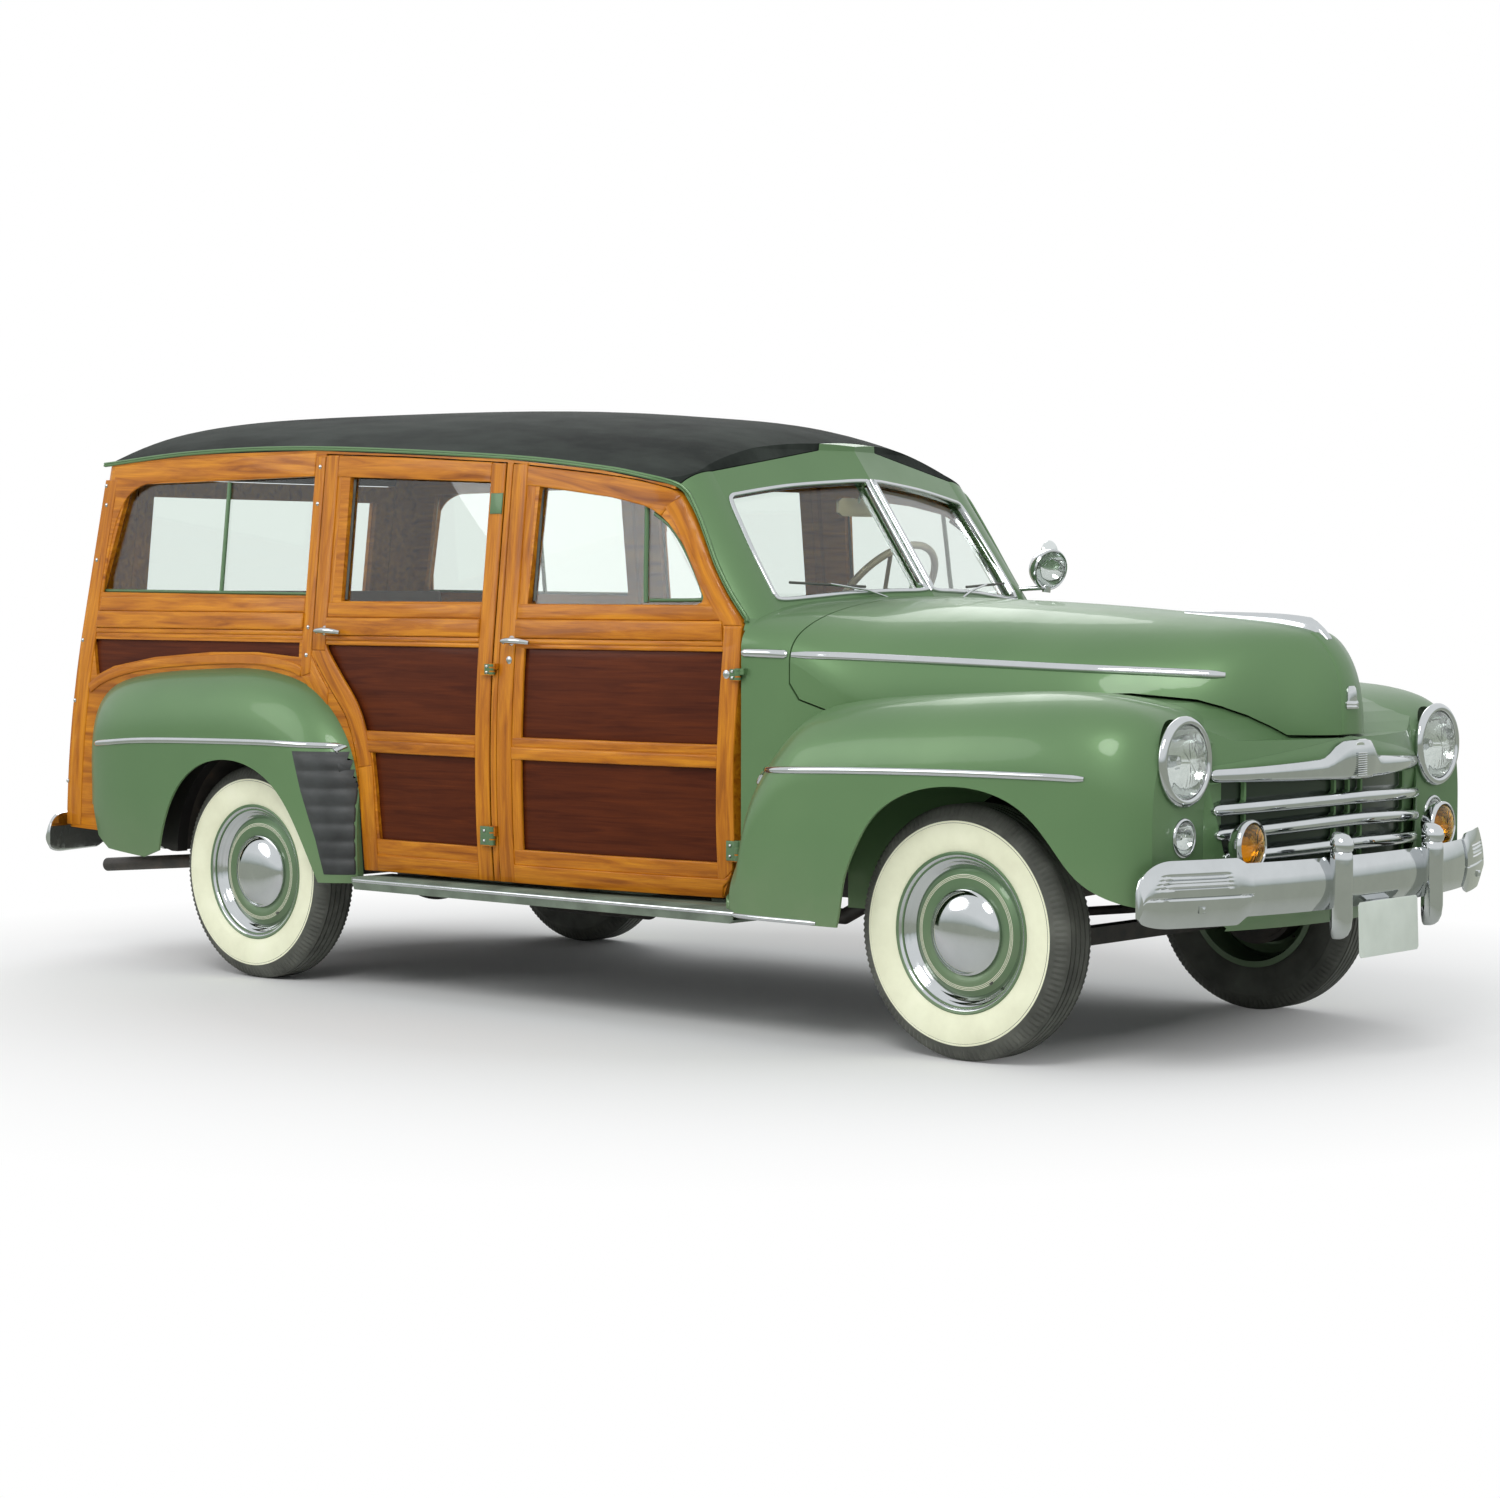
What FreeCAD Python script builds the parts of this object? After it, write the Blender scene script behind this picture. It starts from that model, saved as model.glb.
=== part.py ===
"""Late-1940s wooden-bodied station wagon, built as an assembly of its real panels and running gear.

Millimetres, +X forward, +Y to the car's left, +Z up. Stations along X are measured from the middle of the
wheelbase, and put() moves every piece so that the row's origin is the middle of the footprint on the floor.
"""
import FreeCAD, Part
import math
import os

V = FreeCAD.Vector
os.makedirs("parts", exist_ok=True)

# Driving dimensions
wheelbase = 2896.0
front_track = 1473.0
rear_track = 1524.0
tyre_radius = 352.0
tyre_width = 165.0
rim_radius = 221.0
front_overhang = 885.0          # front wheel centre to the bumper guards' front
rear_overhang = 1224.0          # rear wheel centre to the rear guards' outer face
wall = 42.0                     # thickness of the doors and body walls
panel_depth = 16.0              # how far the dark panels sit back in their frames
panel_gap = 4.0                 # gap round each door and lid
skin = 8.0                      # thickness of the pressed fenders and hood
glass = 6.0
sill_z = 372.0                  # underside of the doors
floor_z = 470.0                 # top of the cabin floor
widest = 822.0                  # half width of the wooden body at its widest
widest_z = 750.0
belt_z = 1160.0                 # height at which the body starts to lean inwards in a straight line
belt_half = 800.0
cowl_x = 598.0                  # front edge of the front doors
cowl_narrowing = 67.0           # how far each side has drawn in at cowl_x
b_pillar_x = -318.0             # rear edge of the front doors
b_pillar_width = 33.0
c_pillar_x = -1180.0            # rear edge of the rear doors
c_pillar_width = 50.0
tail_x = -2500.0                # rear corner of the body, low down
tail_lean = 0.125               # how far the tail leans forward for each millimetre of height
tail_bow = 50.0
fender_low = 345.0              # lower edge of the front fenders and the cowl
hood_seam_x = 770.0             # seam between the cowl and the hood
origin_shift = (rear_overhang - front_overhang) / 2

front_axle_x = wheelbase / 2
rear_axle_x = -wheelbase / 2


def taper(x):
    """How far the body's side has drawn in at station x, in front of the doors' middle pillar."""
    return cowl_narrowing * (max(0.0, x - b_pillar_x) / (cowl_x - b_pillar_x)) ** 2


def put(name, *shapes):
    """Moves the shapes to the row frame and writes them as one node."""
    solids = []
    for shape in shapes:
        solids += shape.Solids
    moved = Part.makeCompound(solids)
    moved.translate(V(origin_shift, 0, 0))
    moved.exportStep("parts/" + name + ".step")
    bad = [s for s in solids if not s.isValid() or s.Volume <= 0]
    print(f"{name}: {len(solids)} solids, {sum(s.Volume for s in solids) / 1e6:.2f} l", "INVALID" if bad else "")


def mirror(shape):
    """The same shape on the car's other side."""
    return shape.mirror(V(0, 0, 0), V(0, 1, 0))


def box(x0, x1, y0, y1, z0, z1):
    return Part.makeBox(x1 - x0, y1 - y0, z1 - z0, V(x0, y0, z0))


def polygon(points):
    return Part.makePolygon(points + [points[0]])


def side_prism(outline, y0, y1):
    """A side-view outline of (x, z) points, extruded from y0 to y1."""
    face = Part.Face(polygon([V(x, y0, z) for x, z in outline]))
    return face.extrude(V(0, y1 - y0, 0))


def smooth_outline(points, closing):
    """A closed side-view wire: a spline through points, then straight lines through closing."""
    curve = Part.BSplineCurve()
    curve.interpolate([V(x, 0, z) for x, z in points])
    corners = [points[-1]] + closing + [points[0]]
    lines = [Part.LineSegment(V(a[0], 0, a[1]), V(b[0], 0, b[1])).toShape() for a, b in zip(corners, corners[1:])]
    return Part.Wire([curve.toShape()] + lines)


def wire_prism(wire, y0, y1):
    solid = Part.Face(wire).extrude(V(0, y1 - y0, 0))
    solid.translate(V(0, y0, 0))
    return solid


def spline(points):
    curve = Part.BSplineCurve()
    curve.interpolate(points)
    return curve.toShape()


def line(a, b):
    return Part.LineSegment(a, b).toShape()


def arc(a, b, c):
    return Part.Arc(a, b, c).toShape()


def loft(sections):
    return Part.makeLoft(sections, True, False)


def interpolate(table, x):
    """Straight-line interpolation in a table of (x, value) pairs."""
    if x <= table[0][0]:
        return table[0][1]
    for (x0, v0), (x1, v1) in zip(table, table[1:]):
        if x <= x1:
            return v0 + (v1 - v0) * (x - x0) / (x1 - x0)
    return table[-1][1]


# The wooden body: plan sections at rising heights, trimmed by the crowned roof

screen_low = (718.0, 1290.0)        # middle of the windscreen's lower edge, x and z
screen_high = (421.0, 1712.0)       # the same slope carried up over the header
scuttle_z = 1200.0                  # where the windscreen's slope meets the cowl's outline
cowl_front = 860.0                  # where the body's outline would end under the hood
vee_depth = 130.0                   # how far the windscreen's middle stands in front of its ends
side_curve = (widest - belt_half) / (belt_z - widest_z) ** 2
side_lean = 2 * side_curve * (belt_z - widest_z)


def half_width(z):
    """Half width of the wooden body at height z: curved up to the belt, then a straight lean."""
    if z <= belt_z:
        return widest - side_curve * (z - widest_z) ** 2
    return belt_half - side_lean * (z - belt_z)


def screen_x(z):
    """Station of the windscreen's middle at height z, upright over the header and under the belt."""
    if z <= belt_z:
        return cowl_front
    z = min(z, screen_high[1])
    t = (z - screen_low[1]) / (screen_high[1] - screen_low[1])
    return screen_low[0] + (screen_high[0] - screen_low[0]) * t


def plan_section(z, inset):
    w = half_width(z) - inset
    rear = tail_x + tail_lean * (z - sill_z) + inset
    front = screen_x(z) - inset * 1.2
    rf = 150.0 - inset * 0.5
    rr = 60.0 - inset * 0.5
    k = 1 - math.sqrt(0.5)
    corner = front - vee_depth
    start = corner - rf
    wf = w - taper(start)
    edges = []
    for s in (1, -1):
        stations = [start + (b_pillar_x - start) * step / 6 for step in range(0, 7)]
        side = spline([V(x, s * (w - taper(x)), z) for x in stations])
        half = [
            line(V(front, 0, z), V(corner, s * (wf - rf), z)),
            arc(V(corner, s * (wf - rf), z), V(corner - k * rf, s * (wf - k * rf), z), V(start, s * wf, z)),
            side,
            line(V(b_pillar_x, s * w, z), V(rear + rr, s * w, z)),
            arc(V(rear + rr, s * w, z), V(rear + k * rr, s * (w - k * rr), z), V(rear, s * (w - rr), z)),
        ]
        edges.append(half)
    bow = arc(V(rear, w - rr, z), V(rear - tail_bow, 0, z), V(rear, -(w - rr), z))
    return Part.Wire(edges[0] + [bow] + edges[1][::-1])


roof_crown = [(-2620, 1735), (-2540, 1800), (-2440, 1855), (-2300, 1879), (-2000, 1889), (-1500, 1888), (-1000, 1882),
              (-500, 1862), (-100, 1830), (228, 1786), (471, 1706), (640, 1630), (920, 1540)]
roof_edge = [(-2620, 1630), (-2540, 1660), (-2440, 1690), (-2300, 1712), (-2000, 1732), (-1500, 1738), (-1000, 1728),
             (-500, 1698), (-100, 1658), (228, 1612), (471, 1555), (640, 1500), (920, 1420)]
crown_power = 2.0


def roof_section(x, drop):
    """An arched section of everything under the roof's skin."""
    crown = interpolate(roof_crown, x) - drop
    edge = interpolate(roof_edge, x) - drop
    arch = []
    for y in (-860, -740, -600, -400, -200, 0, 200, 400, 600, 740, 860):
        arch.append(V(x, y, crown - (crown - edge) * (abs(y) / 740.0) ** crown_power))
    low = 900.0
    return Part.Wire([spline(arch), line(arch[-1], V(x, 860, low)), line(V(x, 860, low), V(x, -860, low)),
                      line(V(x, -860, low), arch[0])])


def body_solid(inset):
    """The wooden body and windscreen frame as one block, set in from the outer surface."""
    lower = loft([plan_section(z, inset) for z in (330, 470, 610, 750, 890, 1030, belt_z)])
    scuttle = loft([plan_section(z, inset) for z in (belt_z, scuttle_z)])
    middle = loft([plan_section(z, inset) for z in (scuttle_z, 1330, 1460, 1590, screen_high[1])])
    upper = loft([plan_section(z, inset) for z in (screen_high[1], 1830, 1950)])
    crown = loft([roof_section(x, inset) for x, _ in roof_crown])
    return [lower, scuttle, middle, upper, crown]


def body_block(inset):
    lower, scuttle, middle, upper, crown = body_solid(inset)
    top = middle.fuse(upper).common(crown)
    return lower.fuse([scuttle, top]).removeSplitter()


outer = body_block(0.0)
inner = body_block(wall)
recess = body_block(panel_depth)
pane_front = body_block(panel_depth + 2)
pane_back = body_block(panel_depth + 2 + glass)
left = box(-2700, 900, 0, 950, 300, 2000)
shell = outer.cut(inner)
panel_layer = outer.cut(recess).common(left)
glass_layer = pane_front.cut(pane_back)

# Side-view outlines, x and z

roof_line = [(-2700, 1716), (-2340, 1707), (-1842, 1736), (-1238, 1734), (-366, 1685), (33, 1644), (316, 1592)]
door_bottom = sill_z + 14
front_door_outline = [(b_pillar_x, door_bottom), (539, door_bottom), (575, 470), (589, 535), (589, 800), (594, 900),
                      (598, 980), (600, 1080), (597, 1180), (530, 1265), (475, 1345), (432, 1418), (396, 1478),
                      (366, 1522), (337, 1560), (318, 1574), (299, 1582), (199, 1606), (33, 1630), (b_pillar_x, 1668)]
rear_front_x = b_pillar_x - b_pillar_width
rear_door_edge = [(c_pillar_x, 1090), (-1150, 1040), (-1083, 964), (-1010, 884), (-974, 814), (-946, 715),
                  (-938, 560), (-935, door_bottom)]
rear_door_outline = [(rear_front_x, 1671), (-800, 1700), (c_pillar_x, 1718)] + rear_door_edge + \
                    [(rear_front_x, door_bottom)]
front_window = [(-217, 1240), (432, 1240), (451, 1247), (456, 1262), (441, 1292), (383, 1400), (362, 1427),
                (341, 1450), (313, 1479), (282, 1502), (250, 1520), (218, 1532), (88, 1560), (-203, 1597)]
rear_window = [(-1060, 1245), (-400, 1245), (-400, 1615), (-1060, 1645)]
quarter_window = [(-2296, 1272), (-1232, 1262), (-1232, 1650), (-2190, 1641)]
rail_low, rail_high = 765.0, 833.0
belt_rail_low = 1112.0
bottom_rail = 490.0
stile = 62.0
front_panels = [
    [(b_pillar_x + stile, bottom_rail), (526, bottom_rail), (529, rail_low), (b_pillar_x + stile, rail_low)],
    [(b_pillar_x + stile, rail_high), (531, rail_high), (545, belt_rail_low), (b_pillar_x + stile, belt_rail_low)],
]
rear_panels = [
    [(rear_front_x - stile, bottom_rail), (-857, bottom_rail), (-866, 647), (-880, rail_low),
     (rear_front_x - stile, rail_low)],
    [(rear_front_x - stile, rail_high), (-932, rail_high), (-987, 926), (-1080, 1000), (-1118, 1040),
     (-1118, belt_rail_low), (rear_front_x - stile, belt_rail_low)],
]
quarter_panel = [(-1245, 1110), (-1245, 1062), (-1457, 1076), (-1687, 1073), (-1978, 1052), (-2196, 1018),
                 (-2290, 985), (-2318, 1110)]


def grown(outline, distance):
    """The outline moved outwards by a distance, as a face."""
    wire = polygon([V(x, 0, z) for x, z in outline])
    return Part.Face(wire.makeOffset2D(distance, 2))


def opening(outline, gap=panel_gap):
    solid = grown(outline, gap).extrude(V(0, 500, 0))
    solid.translate(V(0, 450, 0))
    return solid


def swing_relief(x, z0, z1):
    """What is taken off a door's rear edge so that its inner corner clears the pillar as it swings."""
    points = [V(x - 40, 840, z0), V(x, 840, z0), V(x + 24, 600, z0), V(x - 40, 600, z0)]
    return Part.Face(polygon(points)).extrude(V(0, 0, z1 - z0))


def build_door(outline, window, panels, rear_x, relief_top):
    door = shell.common(side_prism(outline, 450, 950))
    door = door.cut(side_prism(window, 450, 950))
    for panel in panels:
        door = door.cut(panel_layer.common(side_prism(panel, 450, 950)))
    door = door.cut(swing_relief(rear_x, 300, relief_top))
    pane = glass_layer.common(side_prism(window, 450, 950))
    return door, pane


front_door, front_pane = build_door(front_door_outline, front_window, front_panels, b_pillar_x, 1800)
rear_door, rear_pane = build_door(rear_door_outline, rear_window, rear_panels, -935, 520)
rear_door = rear_door.cut(swing_relief(c_pillar_x, 1090, 1800))

# Hinges stand on the outer skin, with their pins on one upright line for each door

hinge_radius = 9.0
hinge_stand = 6.0               # how far the pins stand outside the body's widest line
leaf_stand = 3.0
hinge_sizes = ((496.0, 62.0), (1021.0, 36.0))       # height of each hinge's foot, and its length
front_hinge_x = cowl_x + 8.0
rear_hinge_x = (b_pillar_x + rear_front_x) / 2


def hinge_half(x, direction, leaf):
    """Half of each hinge: a knuckle on the pin's line and a leaf that lies on the panel."""
    parts = []
    pin_y = widest + hinge_stand - taper(x)
    for z, length in hinge_sizes:
        z0 = z if direction < 0 else z + length / 2 + 0.3
        knuckle = Part.makeCylinder(hinge_radius, length / 2 - 0.3, V(x, pin_y, z0))
        reach = sorted((x, x + direction * leaf))
        plate = box(reach[0], reach[1], half_width(z) - taper(x) - 12, pin_y + leaf_stand, z0, z0 + length / 2 - 0.3)
        parts.append(knuckle.fuse(plate).cut(outer))
    return parts


front_hinges = hinge_half(front_hinge_x, -1, 30)
rear_hinges = hinge_half(rear_hinge_x, -1, 48)
cowl_hinges = hinge_half(front_hinge_x, 1, 24)
pillar_hinges = hinge_half(rear_hinge_x, 1, 14)
tail_edge = 606.0
tailgate_low, tailgate_high, liftgate_high = 644.0, 1172.0, 1668.0
tailgate_opening = box(-2700, -2100, -tail_edge - panel_gap, tail_edge + panel_gap, tailgate_low - panel_gap,
                       liftgate_high + panel_gap)
liftgate_axis = (-2389.0, 1669.0)
tailgate_axis = (-2517.0, 642.0)
liftgate_reach = 500.0              # from the liftgate's pins to its free edge


def gate_reach(axis, radius):
    """All that stays within one radius of a gate's pins, so that the gate's free edge swings past the other gate."""
    x, z = axis
    return Part.makeCylinder(radius, 2 * tail_edge + 20, V(x, -tail_edge - 10, z), V(0, 1, 0))


gate_space = box(-2700, -2100, -tail_edge, tail_edge, tailgate_low, liftgate_high)
tailgate = shell.common(gate_space).common(gate_reach(tailgate_axis, tailgate_high - tailgate_axis[1]))
liftgate = shell.common(gate_space).common(gate_reach(liftgate_axis, liftgate_reach))
lift_window = box(-2700, -2100, -530, 530, tailgate_high + 85, liftgate_high - 60)
liftgate_pane = glass_layer.common(lift_window)
liftgate = liftgate.cut(lift_window)
gate_hinge_radius = 7.0


def gate_hinges(axis, direction, offset):
    """Half of each gate hinge, with its leaf up or down the outer skin from the pin."""
    x, z = axis
    parts = []
    for y in (-400, 400):
        y0 = y + offset
        barrel = Part.makeCylinder(gate_hinge_radius, 29.7, V(x, y0, z), V(0, 1, 0))
        low, high = sorted((z, z + direction * 45))
        leaf = box(x - 3, x + 60, y0, y0 + 29.7, low, high)
        parts.append(barrel.fuse(leaf).cut(outer))
    return parts


for y0, y1 in ((-tail_edge + 70, -25), (25, tail_edge - 70)):
    tailgate = tailgate.cut(outer.cut(recess).common(box(-2700, -2100, y0, y1, tailgate_low + 90, tailgate_high - 95)))

# Roof, windscreen frame and the fixed sides

roof_outline = roof_line + [(326, 1611), (368, 1680), (386, 1710), (392, 2000), (-2700, 2000)]
roof_space = side_prism(roof_outline, -950, 950)
roof = shell.common(roof_space)
front_space = side_prism([(606, 330), (606, 1150), (601, 1186), (534, 1270), (479, 1350), (436, 1423), (400, 1483),
                          (370, 1527), (341, 1566), (320, 1592), (330, 1611), (372, 1680), (390, 1710), (396, 2000),
                          (900, 2000), (900, 330)], -950, 950)
screen_space = shell.common(front_space).common(box(300, 900, -950, 950, belt_z, 2000))
door_holes = opening(front_door_outline).fuse(opening(rear_door_outline))
screen_space = screen_space.cut(door_holes).cut(mirror(door_holes))


def rounded(points, radius):
    """A closed wire through the corners, with each one rounded to the radius."""
    edges = []
    ends = []
    for before, corner, after in zip(points[-1:] + points[:-1], points, points[1:] + points[:1]):
        one = (before - corner).normalize()
        two = (after - corner).normalize()
        half_angle = one.getAngle(two) / 2
        reach = radius / math.tan(half_angle)
        middle = corner + (one + two).normalize() * (radius / math.sin(half_angle) - radius)
        ends.append((corner + one * reach, middle, corner + two * reach))
    for (a, m, b), following in zip(ends, ends[1:] + ends[:1]):
        edges += [arc(a, m, b), line(b, following[0])]
    return Part.Wire(edges)


def screen_opening(side):
    """The opening for one windscreen pane, beside the middle post."""
    points = [(22, 1286), (300, 1276), (592, 1251), (562, 1562), (300, 1600), (22, 1618)]
    return Part.Face(rounded([V(300, y * side, z) for y, z in points], 24)).extrude(V(600, 0, 0))


windshield = []
for side in (1, -1):
    hole = screen_opening(side)
    windshield.append(glass_layer.common(hole).common(box(300, 900, -700, 700, 1200, 1700)))
    screen_space = screen_space.cut(hole)

# Cowl and hood: arched sections, from the doors' front edge to the round nose

hood_sections = [
    (cowl_x - 60, 759.0, 1270.0, 2.9, 1100.0), (cowl_x, 750.0, 1270.0, 2.9, 1100.0),
    (hood_seam_x, 726.0, 1265.0, 2.3, 1080.0), (1000.0, 662.0, 1256.0, 2.9, 930.0),
    (1400.0, 575.0, 1237.0, 2.9, 880.0), (1700.0, 490.0, 1216.0, 2.7, 880.0), (1850.0, 410.0, 1205.0, 2.7, 880.0),
    (1975.0, 335.0, 1192.0, 2.7, 880.0), (2050.0, 255.0, 1178.0, 2.5, 880.0), (2087.0, 205.0, 1165.0, 2.4, 880.0),
    (2133.0, 150.0, 1122.0, 2.3, 880.0), (2160.0, 105.0, 1080.0, 2.2, 880.0), (2175.0, 66.0, 1030.0, 2.1, 880.0),
    (2182.0, 32.0, 975.0, 2.0, 880.0),
]


def arch_section(x, half, top, power, base, inset):
    points = []
    for step in range(0, 13):
        angle = math.pi * step / 12
        c, s = math.cos(angle), math.sin(angle)
        y = math.copysign((half - inset) * abs(c) ** (2 / power), c)
        points.append(V(x, y, base + (top - inset - base) * abs(s) ** (2 / power)))
    low = fender_low
    return Part.Wire([spline(points), line(points[-1], V(x, points[-1].y, low)),
                      line(V(x, points[-1].y, low), V(x, points[0].y, low)), line(V(x, points[0].y, low), points[0])])


def hood_block(inset):
    wires = [arch_section(x - (inset if x > 2000 else 0), half, top, power, base, inset)
             for x, half, top, power, base in hood_sections]
    return loft(wires)


hood_outer = hood_block(0.0)
hood_inner = hood_block(skin)
catwalk = [(1760, 1000), (1918, 985), (1975, 967), (2026, 943), (2065, 915), (2097, 888), (2300, 883)]
hood_lower_edge = [(hood_seam_x, 1014), (800, 968), (886, 938), (1000, 953), (1300, 990)] + catwalk


def hood_space(shift):
    """Side view of the hood's region, with its rear and lower edges moved by shift."""
    points = [(x + (shift if x < 900 else 0), z + shift) for x, z in hood_lower_edge]
    return side_prism([(hood_seam_x + shift, 1400)] + points + [(2300, 1400)], -900, 900)


hood = hood_outer.cut(hood_inner).common(hood_space(panel_gap))
cowl_space = box(cowl_x - 60, hood_seam_x, -900, 900, door_bottom, 1400)
cowl_shell = hood_outer.cut(hood_inner).common(cowl_space).cut(door_holes).cut(mirror(door_holes))
screen_space = screen_space.cut(hood_outer.common(box(500, hood_seam_x + 200, -900, 900, 300, 1400)))
screen_space = screen_space.common(box(300, hood_seam_x, -900, 900, 300, 2000))
cowl_shell = cowl_shell.cut(side_prism([(500, 300), (609, 300), (609, 1184), (500, 1184)], -950, 950))
cowl_corner = side_prism([(hood_seam_x, door_bottom), (1150, door_bottom), (1150, 960)] +
                         [(x, z) for x, z in hood_lower_edge[3::-1]], -900, 900)
firewall = hood_inner.common(box(hood_seam_x - 20, hood_seam_x - 12, -900, 900, floor_z - 15, 1300))

# Front fenders: arched sections outside the hood, closed at the rear and rounded into the nose

fender_sections = [
    (672.0, 885.0, 430.0), (690.0, 893.0, 515.0), (706.0, 900.0, 590.0), (722.0, 905.0, 655.0), (745.0, 912.0, 735.0),
    (767.0, 916.0, 785.0), (800.0, 919.0, 835.0), (833.0, 922.0, 872.0), (870.0, 924.0, 908.0), (928.0, 926.0, 948.0),
    (1000.0, 927.0, 968.0), (1071.0, 928.0, 978.0), (1226.0, 928.0, 992.0), (1434.0, 928.0, 1003.0),
    (1669.0, 926.0, 1013.0), (1830.0, 920.0, 1008.0), (1930.0, 906.0, 992.0), (2000.0, 880.0, 968.0),
    (2045.0, 846.0, 934.0), (2072.0, 808.0, 890.0),
]
fender_inner = 448.0
fender_crest_y = 700.0


def fender_section(x, half, top, inset):
    w = half - inset
    zt = top - inset
    zm = max(zt - 230, fender_low + 60)
    points = []
    for step in range(0, 7):
        angle = math.pi / 2 * step / 6
        y = fender_crest_y + (w - fender_crest_y) * math.cos(angle) ** (2 / 2.3)
        points.append(V(x, y, zm + (zt - zm) * math.sin(angle) ** (2 / 2.3)))
    points += [V(x, 640, zt - 1), V(x, 560, zt - 6)]
    yi = fender_inner + inset
    low = V(x, points[0].y, fender_low)
    inner_top = V(x, yi, zt - 22)
    points.append(inner_top)
    return Part.Wire([line(low, points[0]), spline(points), line(inner_top, V(x, yi, fender_low)),
                      line(V(x, yi, fender_low), low)])


def fender_block(inset):
    return loft([fender_section(x, half, top, inset) for x, half, top in fender_sections])


def fender_hollow():
    rows = [(x + (skin if x < 900 else 0) - (skin if x > 1950 else 0), half, top) for x, half, top in fender_sections]
    return loft([fender_section(x, half, top, skin) for x, half, top in rows])


arch_points = [(1110, 345), (1123, 401), (1138, 485), (1181, 584), (1231, 656), (1311, 715), (1482, 758), (1616, 750),
               (1730, 707), (1826, 619), (1905, 531), (2014, 473), (2076, 456)]
front_arch = smooth_outline(arch_points, [(2200, 450), (2200, 200), (1110, 200)])
fender_outer = fender_block(0.0)
front_fender = fender_outer.cut(fender_hollow())
front_fender = front_fender.cut(wire_prism(front_arch, 300, 950))
front_fender = front_fender.cut(box(700, 2200, 300, 950, 200, fender_low + 8))
front_fender = front_fender.cut(hood_outer.common(hood_space(-panel_gap)))
seating_gap = 0.3
cowl_seat = hood_block(-seating_gap).common(box(560, hood_seam_x + 2, 0, 900, fender_low, 1300))
front_fender = front_fender.cut(cowl_seat)
cowl_corner = hood_outer.cut(hood_inner).common(cowl_corner).cut(fender_outer).cut(mirror(fender_outer))

# Front apron: the panel between the fenders, with a recess behind the grille

nose_rows = [(350.0, 2120.0), (430.0, 2178.0), (520.0, 2196.0), (700.0, 2198.0), (830.0, 2188.0), (900.0, 2176.0)]
nose_sweep = 119.0
grille_half = 550.0


def nose_line(x, z, inset, half):
    points = []
    for step in range(-6, 7):
        y = half * step / 6
        points.append(V(x - nose_sweep * (y / grille_half) ** 2 - inset, y, z))
    return points


def nose_block(rows, inset, half, back):
    wires = []
    for z, x in rows:
        points = nose_line(x, z, inset, half)
        a, b = V(back, -half, z), V(back, half, z)
        wires.append(Part.Wire([spline(points), line(points[-1], b), line(b, a), line(a, points[0])]))
    return Part.makeLoft(wires, True, False)


apron_half = 620.0


def apron_space(back, drop):
    """Side view of the apron: its top follows the hood's lower edge."""
    top = [(x, z - panel_gap - drop) for x, z in catwalk]
    return side_prism([(back, 300), (back, top[0][1])] + top[1:] + [(2300, 300)], -700, 700)


apron_outer = nose_block(nose_rows + [(1010.0, 2160.0)], 0, apron_half, 1700).common(apron_space(catwalk[0][0], 0))
apron_inner = nose_block([(z - 20 if z < 400 else z, x) for z, x in nose_rows] + [(1010.0, 2160.0)], skin,
                         apron_half + 20, 1650)
apron_inner = apron_inner.common(apron_space(1680, skin))
apron = apron_outer.cut(apron_inner)
apron = apron.cut(fender_outer).cut(mirror(fender_outer))
grille_zone = Part.Face(polygon([V(2030, y, z) for y, z in ((-grille_half, 770), (0, 840), (grille_half, 770),
                        (500, 560), (380, 500), (-380, 500), (-500, 560))])).extrude(V(400, 0, 0))
apron = apron.cut(grille_zone)
grille_back = nose_block([(480, 2160), (860, 2160)], 0, apron_half - 60, 1950)
grille_back = grille_back.cut(nose_block([(470, 2160), (870, 2160)], skin, apron_half, 1900))
grille_back = grille_back.cut(fender_outer).cut(mirror(fender_outer))
apron_solids = [apron, grille_back]


def front_slice(outline, x0=1900.0, x1=2500.0):
    """A front-view outline of (y, z) points, extruded along the car."""
    return Part.Face(polygon([V(x0, y, z) for y, z in outline])).extrude(V(x1 - x0, 0, 0))


bar_band = nose_block([(470, 2212), (900, 2212)], 0, grille_half, 1950)
bar_band = bar_band.cut(nose_block([(460, 2166), (910, 2166)], 0, grille_half + 20, 1900))


def grille_bar(end_low, end_high, mid_low, mid_high, half):
    low, high = [], []
    for step in range(-4, 5):
        y = half * step / 4
        t = abs(step) / 4
        low.append((y, mid_low + (end_low - mid_low) * t))
        high.append((y, mid_high + (end_high - mid_high) * t))
    return bar_band.common(front_slice(low + high[::-1]))


grille_bars = [grille_bar(775, 808, 767, 877, 545), grille_bar(690, 714, 704, 730, 535),
               grille_bar(622, 644, 648, 674, 520), grille_bar(564, 586, 582, 608, 490),
               grille_bar(504, 522, 494, 516, 384)]
grille_posts = []
for y in (-330, -110, 110, 330):
    x = 2160 - nose_sweep * (y / grille_half) ** 2
    grille_posts.append(box(x - 4, x + 20, y - 6, y + 6, 505, 780).cut(bar_band).cut(grille_back))

grille_bars = [bar.cut(fender_outer).cut(mirror(fender_outer)) for bar in grille_bars]
for bar in grille_bars:
    apron = apron.cut(bar)
apron_solids = [apron, grille_back]

# Lamps

head_lamp = (2076.0, 667.0, 836.0)
head_lamp_radius = 122.0
park_lamp = (2072.0, 660.0, 635.0)
park_lamp_radius = 52.0


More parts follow.
